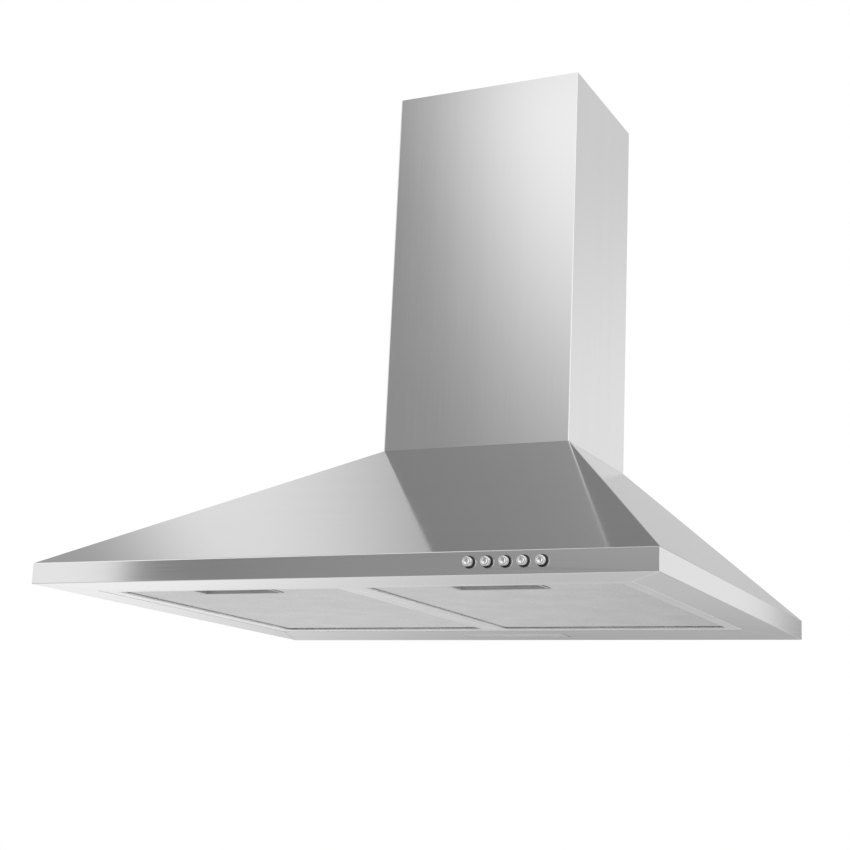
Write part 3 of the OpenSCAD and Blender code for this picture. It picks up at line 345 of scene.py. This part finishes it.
def rounded(name, mesh, width, widths):
    """A piece made of a mesh whose sharp edges are rounded, and whose flats are shaded flat."""
    sharp = radians(24)
    mesh.set_sharp_from_angle(angle=sharp)
    form = bmesh.new()
    form.from_mesh(mesh)
    weight = form.edges.layers.float.new("bevel_weight_edge")
    widest = max([width, *widths.values()])
    shortest = {v: min(e.calc_length() for e in v.link_edges) for v in form.verts}
    for edge in form.edges:
        if len(edge.link_faces) == 2 and edge.calc_face_angle() > sharp:
            own = next((value for test, value in widths.items() if test(edge)), width)
            # Less than half of the shortest edge beside it, so that no two roundings meet
            edge[weight] = min(own, 0.45 * min(shortest[v] for v in edge.verts)) / widest
    form.to_mesh(mesh)
    form.free()
    piece = linked(name, mesh)
    rounding = piece.modifiers.new("rounding", "BEVEL")
    rounding.limit_method = "WEIGHT"
    rounding.width, rounding.segments = widest, 2
    rounding.harden_normals = True
    rounding.use_clamp_overlap = False
    rounding.miter_outer = "MITER_ARC"
    levelling = piece.modifiers.new("levelling", "WEIGHTED_NORMAL")
    levelling.keep_sharp = True
    settle(piece)
    # A corner whose normal leans this far from its face's is a slip of the rounding
    least_cosine = 0.8
    normals = [corner.vector.copy() for corner in piece.data.corner_normals]
    for face in piece.data.polygons:
        for k in face.loop_indices:
            if normals[k].dot(face.normal) < least_cosine:
                normals[k] = face.normal.copy()
    piece.data.normals_split_custom_set(normals)
    return piece


def settle(piece):
    """Turns a piece with its modifiers into a plain mesh."""
    graph = bpy.context.evaluated_depsgraph_get()
    solid = bpy.data.meshes.new_from_object(piece.evaluated_get(graph),
        preserve_all_data_layers=True, depsgraph=graph)
    piece.modifiers.clear()
    piece.data = solid


def sideways(face):
    """1 for the faces on the hood's sides and 0 for the rest."""
    return int(abs(face.normal.x) > 0.5)


lip_y, lip_z, hair = -0.488, 0.0195, 1e-5


def outer_fold(edge):
    """True for the folds on the outside of the canopy's skin."""
    a, b = (v.co for v in edge.verts)
    along_lip = abs(a.z - lip_z) < hair and abs(b.z - lip_z) < hair
    hip = abs(a.z - b.z) > 0.1 and (a.y + b.y) / 2 < -0.3
    corner = abs(a.x - b.x) < hair and abs(a.y - b.y) < hair and a.y < lip_y + hair
    return along_lip or hip or corner


steel_x, steel_y, steel_z = (brushed("steel brushed along " + "XYZ"[k], k) for k in range(3))
dressed("canopy_skin", ["canopy_shell"], [steel_x, steel_y], width=0.00022,
    pick=sideways, widths={outer_fold: 0.0008})


# The back: a galvanized panel that closes the canopy against the wall, with two thicker plates
# riveted behind the upper screw holes, which carry the hood's weight.
def galvanized(name, base, spangle):
    """Zinc-coated sheet with the flaky crystals that hot dipping leaves."""
    zinc = Finish(name, Metallic=1.0)
    flake = zinc.node("ShaderNodeTexVoronoi", {"feature": "F1"},
        {"Vector": zinc.place, "Scale": 1 / spangle, "Randomness": 1.0}, "Color")
    tone = zinc.node("ShaderNodeSeparateColor", inputs={0: flake})
    cloud, rub = zinc.noise(0.06), zinc.noise(0.0016)
    mark = 0.45 * tone + 0.35 * cloud + 0.2 * rub
    zinc.put("Base Color", zinc.blend(mark, grey(base - 0.09), grey(base + 0.09)))
    zinc.put("Roughness", 0.34 + 0.2 * mark)
    zinc.bump(mark, 0.00003)
    return zinc.material


zinc = galvanized("galvanized sheet", 0.52, 0.009)
dressed("wall_panel", ["back_panel"], [zinc], width=0.0002)
dressed("hanger_pads", ["hanger_plates"], [zinc], width=0.0003)

# The underside: four strips of the same stainless steel that meet in mitres round the filters.
# Their inner edges are folded up at the sides and hemmed at the front and the rear.
for place, grain in (("front", steel_x), ("rear", steel_x), ("left", steel_y), ("right", steel_y)):
    dressed(f"{place}_strip", [f"{place}_flange"], [grain], width=0.00018)

# The plate inside the canopy's top, from which the blower hangs, and the square neck welded to it
# that the chimney is slipped over. Both are plain galvanized sheet.
dressed("blower_plate", ["top_frame"], [zinc], width=0.0002)
dressed("neck", ["chimney_neck"], [zinc], width=0.0002)


# The chimney: two covers of stainless sheet with rounded folds and the grain running up. The inner
# one slides up to the ceiling on a bracket and has cooling slots in its sides.
dressed("chimney_lower_cover", ["chimney_cover"], [steel_z], width=0.00022)
dressed("chimney_upper_cover", ["chimney_upper"], [steel_z], width=0.0002)
dressed("ceiling_bracket", ["chimney_bracket"], [zinc], width=0.0003)


# The lamp: a moulded white housing over a cut-out in the rear strip, held by two spring clips,
# with a frosted lens and a board of light-emitting diodes.
def moulded(name, colour, rough, depth=0.000012):
    """Moulded plastic with the fine spark-eroded texture of its tool and a little unevenness."""
    plastic = Finish(name, Metallic=0.0, IOR=1.5)
    grain, cloud = plastic.noise(0.0011, 3.0), plastic.noise(0.03)
    share = 0.35 * grain + 0.65 * cloud
    dark, pale = (tuple(c * k for c in colour[:3]) + (1.0,) for k in (0.9, 1.1))
    plastic.put("Base Color", plastic.blend(plastic.ease(share, 0.3, 0.7), dark, pale))
    plastic.put("Roughness", rough - 0.06 + 0.12 * share)
    plastic.bump(grain, depth)
    return plastic.material


white_plastic = moulded("white housing plastic", grey(0.74), 0.42)
lens = Finish("frosted lens", Roughness=0.32, IOR=1.49, Transmission_Weight=0.25,
    Subsurface_Weight=0.15, Subsurface_Radius=(0.004, 0.004, 0.004))
ripple = lens.noise((0.0016, 0.05, 0.05), 1.0)
lens.put("Base Color", lens.blend(ripple, (0.66, 0.67, 0.67, 1), (0.76, 0.77, 0.77, 1)))
lens.bump(ripple + 0.6 * lens.noise(0.0009), 0.00002)
board = Finish("lamp board", Roughness=0.38, IOR=1.5)
tracks = board.node("ShaderNodeTexBrick", {}, {"Vector": board.place, "Scale": 70.0,
    "Mortar Size": 0.03, "Color1": (0.02, 0.17, 0.07, 1), "Color2": (0.025, 0.20, 0.085, 1),
    "Mortar": (0.05, 0.32, 0.14, 1)}, "Color")
board.put("Base Color", board.blend(0.25 * board.noise(0.002), tracks, (0.01, 0.10, 0.04, 1)))
phosphor = Finish("diode phosphor", Roughness=0.3, IOR=1.45)
phosphor.put("Base Color", phosphor.blend(phosphor.noise(0.0012),
    (0.80, 0.62, 0.16, 1), (0.88, 0.74, 0.28, 1)))
dressed("lamp_case", ["lamp_housing"], [white_plastic], width=0.0005)
window = dressed("lamp_window", ["lamp_lens"], [lens.material], width=0.0004)
# The lens stops short of the cut-out's right end, which leaves a dark gap there
right_end, gap = 0.055, 0.0024
for vertex in window.data.vertices:
    if vertex.co.x > right_end:
        vertex.co.x -= gap
board_top, board_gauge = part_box("lamp_board")[1].z, 0.00165
dressed("diode_board", ["lamp_board"], [board.material, phosphor.material], width=0.00015,
    pick=lambda face: int(face.center.z < board_top - board_gauge))


# The lamp's clips are bent from spring steel strip. Their bright metal, drawn or rolled, is also
# that of the coil springs, and in other tones that of the chrome, the motor and the screws.
def bright(name, value, rough, size, depth=0.000005):
    """Plain metal with a fine rolled or turned surface and a few dull patches."""
    metal = Finish(name, Metallic=1.0)
    line, patch = metal.noise(size), metal.noise(0.012)
    mark = 0.6 * line + 0.4 * patch
    metal.put("Base Color", metal.blend(mark, grey(value - 0.07), grey(value + 0.07)))
    metal.put("Roughness", rough - 0.05 + 0.12 * mark)
    metal.bump(line, depth)
    return metal.material


spring_steel = bright("spring steel", 0.56, 0.26, 0.0006)
dressed("lamp_springs", ["lamp_clips"], [spring_steel], width=0.0001)


# The push buttons: turned brass with a chrome plate, a raised ring round a shallow dish, and a stem
# that runs through a spring into the switch block. Black guide rings line their holes in the lip.
def turned(name, centres, profiles, finish, body, nodes):
    """Closed profiles of radius and depth along Y, turned round an axis through each centre."""
    # A ring of less than the least radius is one point on the axis
    sides, least = 48, 1e-7
    form = bmesh.new()
    for x, z in centres:
        for profile in profiles:
            rings = []
            for radius, depth in profile:
                if radius < least:
                    rings.append([form.verts.new((x, depth, z))])
                    continue
                rings.append([form.verts.new((x + radius * cos(2 * pi * k / sides), depth,
                    z + radius * sin(2 * pi * k / sides))) for k in range(sides)])
            if profile[0][0] >= least:
                rings.append(rings[0])
            for one, two in zip(rings, rings[1:]):
                for k in range(sides):
                    n = (k + 1) % sides
                    corners = [one[k % len(one)], one[n % len(one)],
                        two[n % len(two)], two[k % len(two)]]
                    form.faces.new([v for i, v in enumerate(corners) if v not in corners[:i]])
    bmesh.ops.recalc_face_normals(form, faces=form.faces)
    for face in form.faces:
        face.smooth = True
    mesh = bpy.data.meshes.new(name)
    form.to_mesh(mesh)
    form.free()
    mesh.set_sharp_from_angle(angle=radians(32))
    mesh.materials.append(finish)
    return stands_for(linked(name, mesh), nodes, body)


def arc(centre, radius, start, end, steps=5):
    """Points round a circle between two angles in degrees."""
    return [(centre[0] + radius * cos(radians(start + (end - start) * k / steps)),
        centre[1] + radius * sin(radians(start + (end - start) * k / steps)))
        for k in range(steps + 1)]


chrome = bright("chrome plate", 0.80, 0.075, 0.004, 0.0000015)
button_r, stem_r, head_depth = 0.004, 0.002, 0.007
keys = {"button_off": "key_off", "button_speed_1": "key_speed_1", "button_speed_2": "key_speed_2",
    "button_speed_3": "key_speed_3", "button_light": "key_light"}
for node, body in keys.items():
    low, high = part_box(node)
    face, shoulder, end = low.y, lip_y + head_depth, high.y
    turned(f"{node}_cap", [((low.x + high.x) / 2, (low.z + high.z) / 2)], [
        [(0, face + 0.0003), (0.0022, face + 0.00028), (0.00245, face + 0.00018),
            (0.0026, face + 0.00004)]
        + arc((0.0031, face + 0.0003), 0.0003, -100, -60, 2)
        + arc((button_r - 0.0006, face + 0.0006), 0.0006, -80, 0)
        + [(button_r, shoulder - 0.0002), (button_r - 0.0002, shoulder), (stem_r, shoulder),
            (stem_r, end - 0.0004), (stem_r - 0.0004, end), (0, end)]],
        chrome, body, [node])
black_plastic = moulded("black guide plastic", grey(0.028), 0.36)
low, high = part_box("button_guides")
guide_r, button_pitch, button_z = 0.00515, 0.01575, 0.0105
centres = [(low.x + guide_r + k * button_pitch, button_z) for k in range(len(keys))]
turned("guide_rings", centres, [
    arc((guide_r - 0.0004, low.y + 0.0004), 0.0004, 0, -90, 4)
    + arc((guide_r - 0.0007, low.y + 0.0003), 0.0003, -90, -180, 3)
    + [(guide_r - 0.001, high.y), (guide_r, high.y)]], black_plastic, "hood",
    ["button_guides"])
ivory = moulded("switch plastic", (0.70, 0.68, 0.60, 1), 0.4)
dressed("switches", ["switch_block"], [ivory], width=0.0005)


# The buttons' springs: round wire wound on a mandrel, one on the stem of each button. A spring
# stays against the switch block at its free length, on the hood's body.
class Growth(Tree):
    """A Geometry Nodes tree with named inputs, closed by Realize Instances and Set Material."""

    def __init__(self, name, **kinds):
        self.group = bpy.data.node_groups.new(name, "GeometryNodeTree")
        super().__init__(self.group)
        for label, kind in [("Base", "Geometry"), *kinds.items(), ("Coating", "Material")]:
            self.group.interface.new_socket(label.replace("_", " "), in_out="INPUT",
                socket_type=f"NodeSocket{kind}")
        self.group.interface.new_socket("Piece", in_out="OUTPUT", socket_type="NodeSocketGeometry")
        self.inlet = self.nodes.new("NodeGroupInput")

    def value(self, label):
        return Wire(self, self.inlet.outputs[label])

    def close(self, geometry):
        whole = self.node("GeometryNodeRealizeInstances", inputs={"Geometry": geometry})
        coated = self.node("GeometryNodeSetMaterial", inputs={
            "Geometry": whole, "Material": self.value("Coating")})
        outlet = self.nodes.new("NodeGroupOutput")
        self.links.new(coated.socket, outlet.inputs[0])
        return self.group


def grown(name, group, points, values, body, nodes, smooth=40):
    """The plain mesh that a Geometry Nodes tree makes from base points and its named inputs."""
    base = bpy.data.meshes.new(name)
    base.from_pydata(points, [], [])
    piece = linked(name, base)
    growth = piece.modifiers.new("growth", "NODES")
    growth.node_group = group
    for socket in group.interface.items_tree:
        if socket.item_type == "SOCKET" and socket.name in values:
            growth[socket.identifier] = values[socket.name]
    settle(piece)
    piece.data.materials.clear()
    piece.data.materials.append(values["Coating"])
    for face in piece.data.polygons:
        face.use_smooth, face.material_index = True, 0
    piece.data.set_sharp_from_angle(angle=radians(smooth))
    return stands_for(piece, nodes, body)


winding = Growth("wound springs", Radius="Float", Wire="Float", Turns="Float", Length="Float")
helix = winding.node("GeometryNodeCurveSpiral", inputs={
    "Resolution": 20, "Rotations": winding.value("Turns"), "Start Radius": winding.value("Radius"),
    "End Radius": winding.value("Radius"),
    "Height": winding.value("Length") - 2 * winding.value("Wire")})
wire = winding.node("GeometryNodeCurveToMesh", inputs={"Curve": helix, "Fill Caps": True,
    "Profile Curve": winding.node("GeometryNodeCurvePrimitiveCircle", inputs={
        "Resolution": 8, "Radius": winding.value("Wire")})})
laid = winding.node("GeometryNodeTransform", inputs={"Geometry": wire,
    "Rotation": (-pi / 2, 0, 0), "Translation": winding.node("ShaderNodeCombineXYZ", inputs={
        "Y": winding.value("Wire")})})
winding.close(winding.node("GeometryNodeInstanceOnPoints", inputs={
    "Points": winding.value("Base"), "Instance": laid}))
low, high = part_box("button_springs")
free, button_travel = high.y - low.y, 0.003
for node, (x, z) in zip(keys, centres):
    coil = grown(f"{node}_coil", winding.group, [(x, low.y, z)],
        {"Radius": 0.003, "Wire": 0.0003, "Turns": 4.0, "Length": free,
            "Coating": spring_steel}, "hood", ["button_springs"], 60)
    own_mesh(coil)


# The grease filters: a rolled aluminium border round a flattened mesh of slit and stretched sheet,
# with a pleated foil behind it. Each hangs by two lugs on the rear strip.
def aluminium(name, value, rough, size, depth):
    """Mill-finish aluminium: rolling lines, with faint stains from handling."""
    metal = Finish(name, Metallic=1.0)
    line, stain = metal.noise(size), metal.noise(0.035, 3.0)
    mark = 0.55 * line + 0.45 * stain
    metal.put("Base Color", metal.blend(metal.ease(mark, 0.3, 0.7),
        (value - 0.05, value - 0.05, value - 0.048, 1),
        (value + 0.05, value + 0.05, value + 0.052, 1)))
    metal.put("Roughness", rough - 0.05 + 0.12 * mark)
    metal.bump(line, depth)
    return metal.material


border_metal = aluminium("filter border aluminium", 0.88, 0.36, (0.0012, 0.03, 0.0012), 0.000006)
mesh_metal = aluminium("filter mesh aluminium", 0.56, 0.40, 0.003, 0.00001)
foil_metal = aluminium("filter foil", 0.80, 0.33, 0.006, 0.00004)

expanded = Growth("stretched mesh", Low_X="Float", High_X="Float", Low_Y="Float", High_Y="Float",
    Pitch="Float", Slant="Float", Strand="Float", Gauge="Float", Level="Float", Tilt="Float")
low_x, high_x, pitch, slant = (expanded.value(k) for k in ("Low X", "High X", "Pitch", "Slant"))
low_v, high_v = expanded.value("Low Y") / slant, expanded.value("High Y") / slant
strand = expanded.node("GeometryNodeCurvePrimitiveQuadrilateral", {"mode": "RECTANGLE"}, {
    0: expanded.value("Strand"), 1: expanded.value("Gauge")})
families = []
for side in (1, -1):
    # Lines across the panel, each with the same share c of x and the slanted y
    least, most = (low_x - high_v, high_x - low_v) if side > 0 else (low_x + low_v, high_x + high_v)
    first = (least / pitch).maths("CEIL")
    count = (most / pitch).maths("FLOOR") - first + 1
    seeds = expanded.node("GeometryNodeMeshLine", {}, {"Count": count})
    lines = expanded.node("GeometryNodeRealizeInstances", inputs={0: expanded.node(
        "GeometryNodeInstanceOnPoints", inputs={"Points": seeds,
            "Instance": expanded.node("GeometryNodeCurvePrimitiveLine")})})
    index = expanded.node("GeometryNodeInputIndex")
    end = index.maths("MODULO", 2)
    c = (first + (index / 2 + 0.25).maths("FLOOR")) * pitch
    if side > 0:
        start_x = low_x.maths("MAXIMUM", c + low_v)
        end_x = high_x.maths("MINIMUM", c + high_v)
    else:
        start_x = low_x.maths("MAXIMUM", c - high_v)
        end_x = high_x.maths("MINIMUM", c - low_v)
    x = start_x + (end_x - start_x) * end
    at = expanded.node("ShaderNodeCombineXYZ", inputs={"X": x, "Y": (x - c) * slant * side,
        "Z": expanded.value("Level") + side * 0.6 * expanded.value("Gauge")})
    set_down = expanded.node("GeometryNodeSetPosition", inputs={"Geometry": lines, "Position": at})
    level_up = expanded.node("GeometryNodeSetCurveNormal", {"mode": "Z_UP"}, {0: set_down})
    leaned = expanded.node("GeometryNodeSetCurveTilt", inputs={
        0: level_up, "Tilt": side * expanded.value("Tilt")})
    families.append(expanded.node("GeometryNodeCurveToMesh", inputs={
        "Curve": leaned, "Profile Curve": strand, "Fill Caps": True}))
expanded.close(expanded.node("GeometryNodeJoinGeometry", inputs={0: families}))

# The sheet is laid in four panels round the handle's cup, which they reach under by a lap
edge, rear_edge, lap = 0.0003, 0.0022, 0.001
for part in ("filter_left", "filter_right"):
    dressed(f"{part}_border", [f"{part}_frame"], [border_metal], width=0.0003)
    low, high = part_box(f"{part}_mesh")
    cup_low, cup_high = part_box(f"{part}_cup")
    cup_left, cup_right = cup_low.x + lap, cup_high.x - lap
    front_y, rear_y = low.y + edge, high.y - rear_edge
    panels = []
    for x0, x1, y0, y1 in ((low.x + edge, cup_left, front_y, rear_y),
            (cup_right, high.x - edge, front_y, rear_y),
            (cup_left, cup_right, front_y, cup_low.y + lap),
            (cup_left, cup_right, cup_high.y - lap, rear_y)):
        panels.append(grown(f"{part}_panel_{len(panels)}", expanded.group, [(0, 0, 0)], {
            "Low X": x0, "High X": x1, "Low Y": y0, "High Y": y1, "Pitch": 0.0024, "Slant": 0.62,
            "Strand": 0.00062, "Gauge": 0.00012, "Level": low.z + edge, "Tilt": 0.32,
            "Coating": mesh_metal}, part, [], 30))
    whole = bmesh.new()
    for panel in panels:
        whole.from_mesh(panel.data)
        bpy.data.objects.remove(panel)
    mesh = bpy.data.meshes.new(f"{part}_strands")
    whole.to_mesh(mesh)
    mesh.materials.append(mesh_metal)
    stands_for(linked(f"{part}_strands", mesh), [f"{part}_mesh"], part)
    dressed(f"{part}_foil", [f"{part}_core"], [foil_metal], width=0.00006)


# The filter handles: a moulded cup that the fingers reach into, and in it a latch whose tongue
# rests on the front strip. Two springs push it home, and a finger draws it back.
grey_plastic = moulded("grey cup plastic", grey(0.46), 0.40)
dark_plastic = moulded("dark latch plastic", grey(0.13), 0.38)
coil_r, wire_r, latch_travel = 0.0016, 0.00025, 0.005
for side in ("left", "right"):
    part = f"filter_{side}"
    dressed(f"{part}_pocket", [f"{part}_cup"], [grey_plastic], width=0.0003)
    dressed(f"{part}_slider", [f"{part}_latch"], [dark_plastic], width=0.0003)
    low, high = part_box(f"{part}_springs")
    free, middle, inset = high.y - low.y, (low.z + high.z) / 2, coil_r + wire_r
    coils = grown(f"{part}_coils", winding.group,
        [(low.x + inset, low.y, middle), (high.x - inset, low.y, middle)],
        {"Radius": coil_r, "Wire": wire_r, "Turns": 6.0, "Length": free,
            "Coating": spring_steel}, part, [f"{part}_springs"], 60)
    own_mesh(coils)

# The blower: a spiral casing in two halves of black moulded plastic that hang from the plate, with
# a flared ring in each inlet and a grille over the left one.
casing_plastic = moulded("casing plastic", grey(0.045), 0.40, 0.00002)
ring_plastic = moulded("inlet ring plastic", grey(0.065), 0.34)
for side in ("left", "right"):
    dressed(f"volute_{side}", [f"casing_{side}"], [casing_plastic], width=0.0005)
    dressed(f"flare_{side}", [f"inlet_ring_{side}"], [ring_plastic], width=0.0004)
dressed("inlet_grille", ["inlet_guard"], [ring_plastic], width=0.0004)

# The motor: a drawn can in the wheel's right half, on a pressed bracket with three arms, and the
# ground shaft that carries the wheel on its hub.
can_metal = bright("motor can steel", 0.50, 0.33, (0.02, 0.0012, 0.0012))
shaft_metal = bright("ground shaft steel", 0.62, 0.18, (0.02, 0.001, 0.001))
dressed("motor", ["motor_can"], [can_metal], width=0.0007)
dressed("motor_spider", ["motor_bracket"], [zinc], width=0.0004)
dressed("hub", ["wheel_hub"], [shaft_metal], width=0.0005)
dressed("shaft", ["motor_shaft"], [shaft_metal], width=0.0004)

# The wheel: forward-curved blades moulded in one piece with a middle plate and two end rings. It
# sits on the hub, draws air in from both sides and throws it up the outlet.
wheel_plastic = moulded("wheel plastic", grey(0.09), 0.36)
wheel = Growth("blower wheel", Inner="Float", Outer="Float", Sweep="Float", Blade="Float",
    Half="Float", Plate="Float", Hub="Float", Blades="Int")
inner, outer, half, plate = (wheel.value(k) for k in ("Inner", "Outer", "Half", "Plate"))
bends = 6
along = wheel.node("GeometryNodeInputIndex") / bends
reach = inner + (outer - inner) * along
lag = along * along * wheel.value("Sweep") * -1
straight = wheel.node("GeometryNodeResampleCurve", inputs={
    0: wheel.node("GeometryNodeCurvePrimitiveLine"), "Count": bends + 1})
curved = wheel.node("GeometryNodeSetPosition", inputs={0: straight,
    "Position": wheel.node("ShaderNodeCombineXYZ", inputs={
        "Y": reach * lag.maths("COSINE"), "Z": reach * lag.maths("SINE")})})
facing = wheel.node("GeometryNodeSetCurveNormal", {"mode": "Z_UP"}, {0: curved})
blade_form = wheel.node("GeometryNodeCurveToMesh", inputs={"Curve": facing, "Fill Caps": True,
    "Profile Curve": wheel.node("GeometryNodeCurvePrimitiveQuadrilateral", {"mode": "RECTANGLE"}, {
        0: half, 1: wheel.value("Blade")})})


def round_band(tree, x, radial, low_r, width):
    """A flat ring of square section, turned about the X axis."""
    hoop = tree.node("GeometryNodeCurvePrimitiveCircle", inputs={
        "Resolution": 72, "Radius": low_r + radial / 2})
    band = tree.node("GeometryNodeCurveToMesh", inputs={"Curve": hoop,
        "Profile Curve": tree.node("GeometryNodeCurvePrimitiveQuadrilateral",
            {"mode": "RECTANGLE"}, {0: radial, 1: width})})
    return tree.node("GeometryNodeTransform", inputs={0: band, "Rotation": (0, pi / 2, 0),
        "Translation": tree.node("ShaderNodeCombineXYZ", inputs={"X": x})})


rounds = [round_band(wheel, half * 0, outer - wheel.value("Hub"), wheel.value("Hub"), plate)]
for side in (1, -1):
    blades = wheel.value("Blades")
    ring_points = wheel.node("GeometryNodeMeshLine", {}, {"Count": blades, "Offset": (0, 0, 0)})
    spin = wheel.node("GeometryNodeInputIndex") / blades * (2 * pi)
    set_round = wheel.node("GeometryNodeInstanceOnPoints", inputs={"Points": ring_points,
        "Instance": blade_form, "Rotation": wheel.node("ShaderNodeCombineXYZ", inputs={"X": spin})})
    rounds.append(wheel.node("GeometryNodeTransform", inputs={0: set_round,
        "Translation": wheel.node("ShaderNodeCombineXYZ", inputs={
            "X": side * (plate / 2 + half / 2)})}))
    rounds.append(round_band(wheel, side * (plate + half), outer - inner, inner, plate))
placed = wheel.node("GeometryNodeInstanceOnPoints", inputs={"Points": wheel.value("Base"),
    "Instance": wheel.node("GeometryNodeJoinGeometry", inputs={0: rounds})})
wheel.close(placed)
low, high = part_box("impeller")
axis = ((low.x + high.x) / 2, (low.y + high.y) / 2, (low.z + high.z) / 2)
grown("wheel", wheel.group, [axis], {"Inner": 0.050, "Outer": (high.z - low.z) / 2 - 0.0005,
    "Sweep": radians(11), "Blade": 0.001, "Half": 0.048, "Plate": 0.002, "Hub": 0.010,
    "Blades": 36, "Coating": wheel_plastic}, "fan", ["impeller"])

# The outlet: a moulded collar for a 120 mm duct on the blower's mouth, with two flaps on a steel
# pin that fall shut when the blower stops.
dressed("duct_collar", ["outlet_collar"], [casing_plastic], width=0.0005)
flap_plastic = moulded("flap plastic", grey(0.20), 0.38)
dressed("flap_front_leaf", ["flap_front"], [flap_plastic], width=0.0003)
dressed("flap_rear_leaf", ["flap_rear"], [flap_plastic], width=0.0003)
dressed("hinge_pin", ["flap_pin"], [shaft_metal], width=0.0002)

# The electrics: a white box for the mains terminals and the motor's capacitor on the back panel,
# and a cable gland in the plate.
dressed("terminal_box", ["control_box"], [white_plastic], width=0.0008)
case_plastic = moulded("capacitor case", (0.66, 0.67, 0.66, 1), 0.3)
strap_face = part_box("capacitor")[1].y - 0.00105
dressed("motor_capacitor", ["capacitor"], [case_plastic, zinc], width=0.0006,
    pick=lambda face: int(face.center.y > strap_face))
dressed("gland", ["cable_gland"], [ring_plastic], width=0.0004)

# Screws: zinc-plated steel with rolled threads and cross recesses in their tapered heads. Each
# one is placed by two points, the middle of its head's seat and a point beyond the head.
screw_metal = bright("plated screw steel", 0.60, 0.25, 0.0008)
screws = Growth("cross-head screws", Head="Float", Height="Float", Shank="Float", Length="Float",
    Pitch="Float")
head, height, shank, length, lead = (screws.value(k)
    for k in ("Head", "Height", "Shank", "Length", "Pitch"))


def lifted(tree, geometry, z):
    """Geometry moved up by z."""
    return tree.node("GeometryNodeTransform", inputs={0: geometry,
        "Translation": tree.node("ShaderNodeCombineXYZ", inputs={"Z": z})})


pan = screws.node("GeometryNodeMeshCone", inputs={"Vertices": 28, "Side Segments": 1,
    "Radius Top": head * 0.74, "Radius Bottom": head, "Depth": height})
arms = [screws.node("GeometryNodeMeshCube", inputs={"Size": screws.node("ShaderNodeCombineXYZ",
    inputs={"XYZ"[k]: shank * 0.42, "YX"[k]: shank * 2.0, "Z": height * 1.1})}) for k in (0, 1)]
recessed = screws.node("GeometryNodeMeshBoolean", {"operation": "DIFFERENCE", "solver": "EXACT"}, {
    "Mesh 1": pan, "Mesh 2": [lifted(screws, arm, height * 0.9) for arm in arms]})
root, plain_turns = shank * 0.84, 0.8
core = screws.node("GeometryNodeMeshCylinder", inputs={
    "Vertices": 20, "Radius": root, "Depth": length})
thread = screws.node("GeometryNodeCurveToMesh", inputs={"Fill Caps": True,
    "Curve": screws.node("GeometryNodeCurveSpiral", inputs={"Resolution": 14,
        "Rotations": length / lead - plain_turns, "Start Radius": root, "End Radius": root,
        "Height": length - plain_turns * lead}),
    "Profile Curve": screws.node("GeometryNodeCurvePrimitiveCircle", inputs={
        "Resolution": 4, "Radius": shank * 0.15})})
screw = screws.node("GeometryNodeJoinGeometry", inputs={0: [recessed,
    lifted(screws, core, length * -0.5),
    lifted(screws, thread, plain_turns / 2 * lead - length)]})
index = screws.node("GeometryNodeInputIndex")
seat = screws.node("GeometryNodeInputPosition")
beyond = screws.node("GeometryNodeFieldAtIndex", {"data_type": "FLOAT_VECTOR", "domain": "POINT"}, {
    "Index": index + 1, "Value": seat})
facing = screws.node("FunctionNodeAlignRotationToVector", {"axis": "Z"}, {"Vector": screws.node(
    "ShaderNodeVectorMath", {"operation": "SUBTRACT"}, {0: beyond, 1: seat})})
screws.close(screws.node("GeometryNodeInstanceOnPoints", inputs={"Points": screws.value("Base"),
    "Selection": 1 - index.maths("MODULO", 2), "Instance": screw, "Rotation": facing}))
head_r, head_h, bolt_circle = 0.0034, 0.0018, 0.05525
for name in ("motor_screws", "blower_screws", "collar_screws", "bracket_screws"):
    low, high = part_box(name)
    middle = (low + high) / 2
    if name == "motor_screws":
        long = high.x - low.x
        seats = [((high.x - head_h, axis[1] + bolt_circle * cos(radians(angle)),
            axis[2] + bolt_circle * sin(radians(angle))), (1, 0, 0)) for angle in (90, 210, 330)]
    elif name == "bracket_screws":
        long = 0.0041
        seats = [((s * (high.x - long + head_h), middle.y, middle.z), (-s, 0, 0)) for s in (-1, 1)]
    else:
        long = high.z - low.z
        z, way = (high.z - head_h, 1) if name == "collar_screws" else (low.z + head_h, -1)
        seats = [((x, y, z), (0, 0, way)) for x in (low.x + head_r, high.x - head_r)
            for y in (low.y + head_r, high.y - head_r)]
    points = [end for seat, out in seats for end in (seat, tuple(
        p + 0.01 * o for p, o in zip(seat, out)))]
    grown(f"{name}_set", screws.group, points, {"Head": head_r, "Height": head_h,
        "Shank": 0.00175, "Length": long - head_h, "Pitch": 0.0008, "Coating": screw_metal},
        "upper_chimney" if name == "bracket_screws" else "hood", [name], 35)
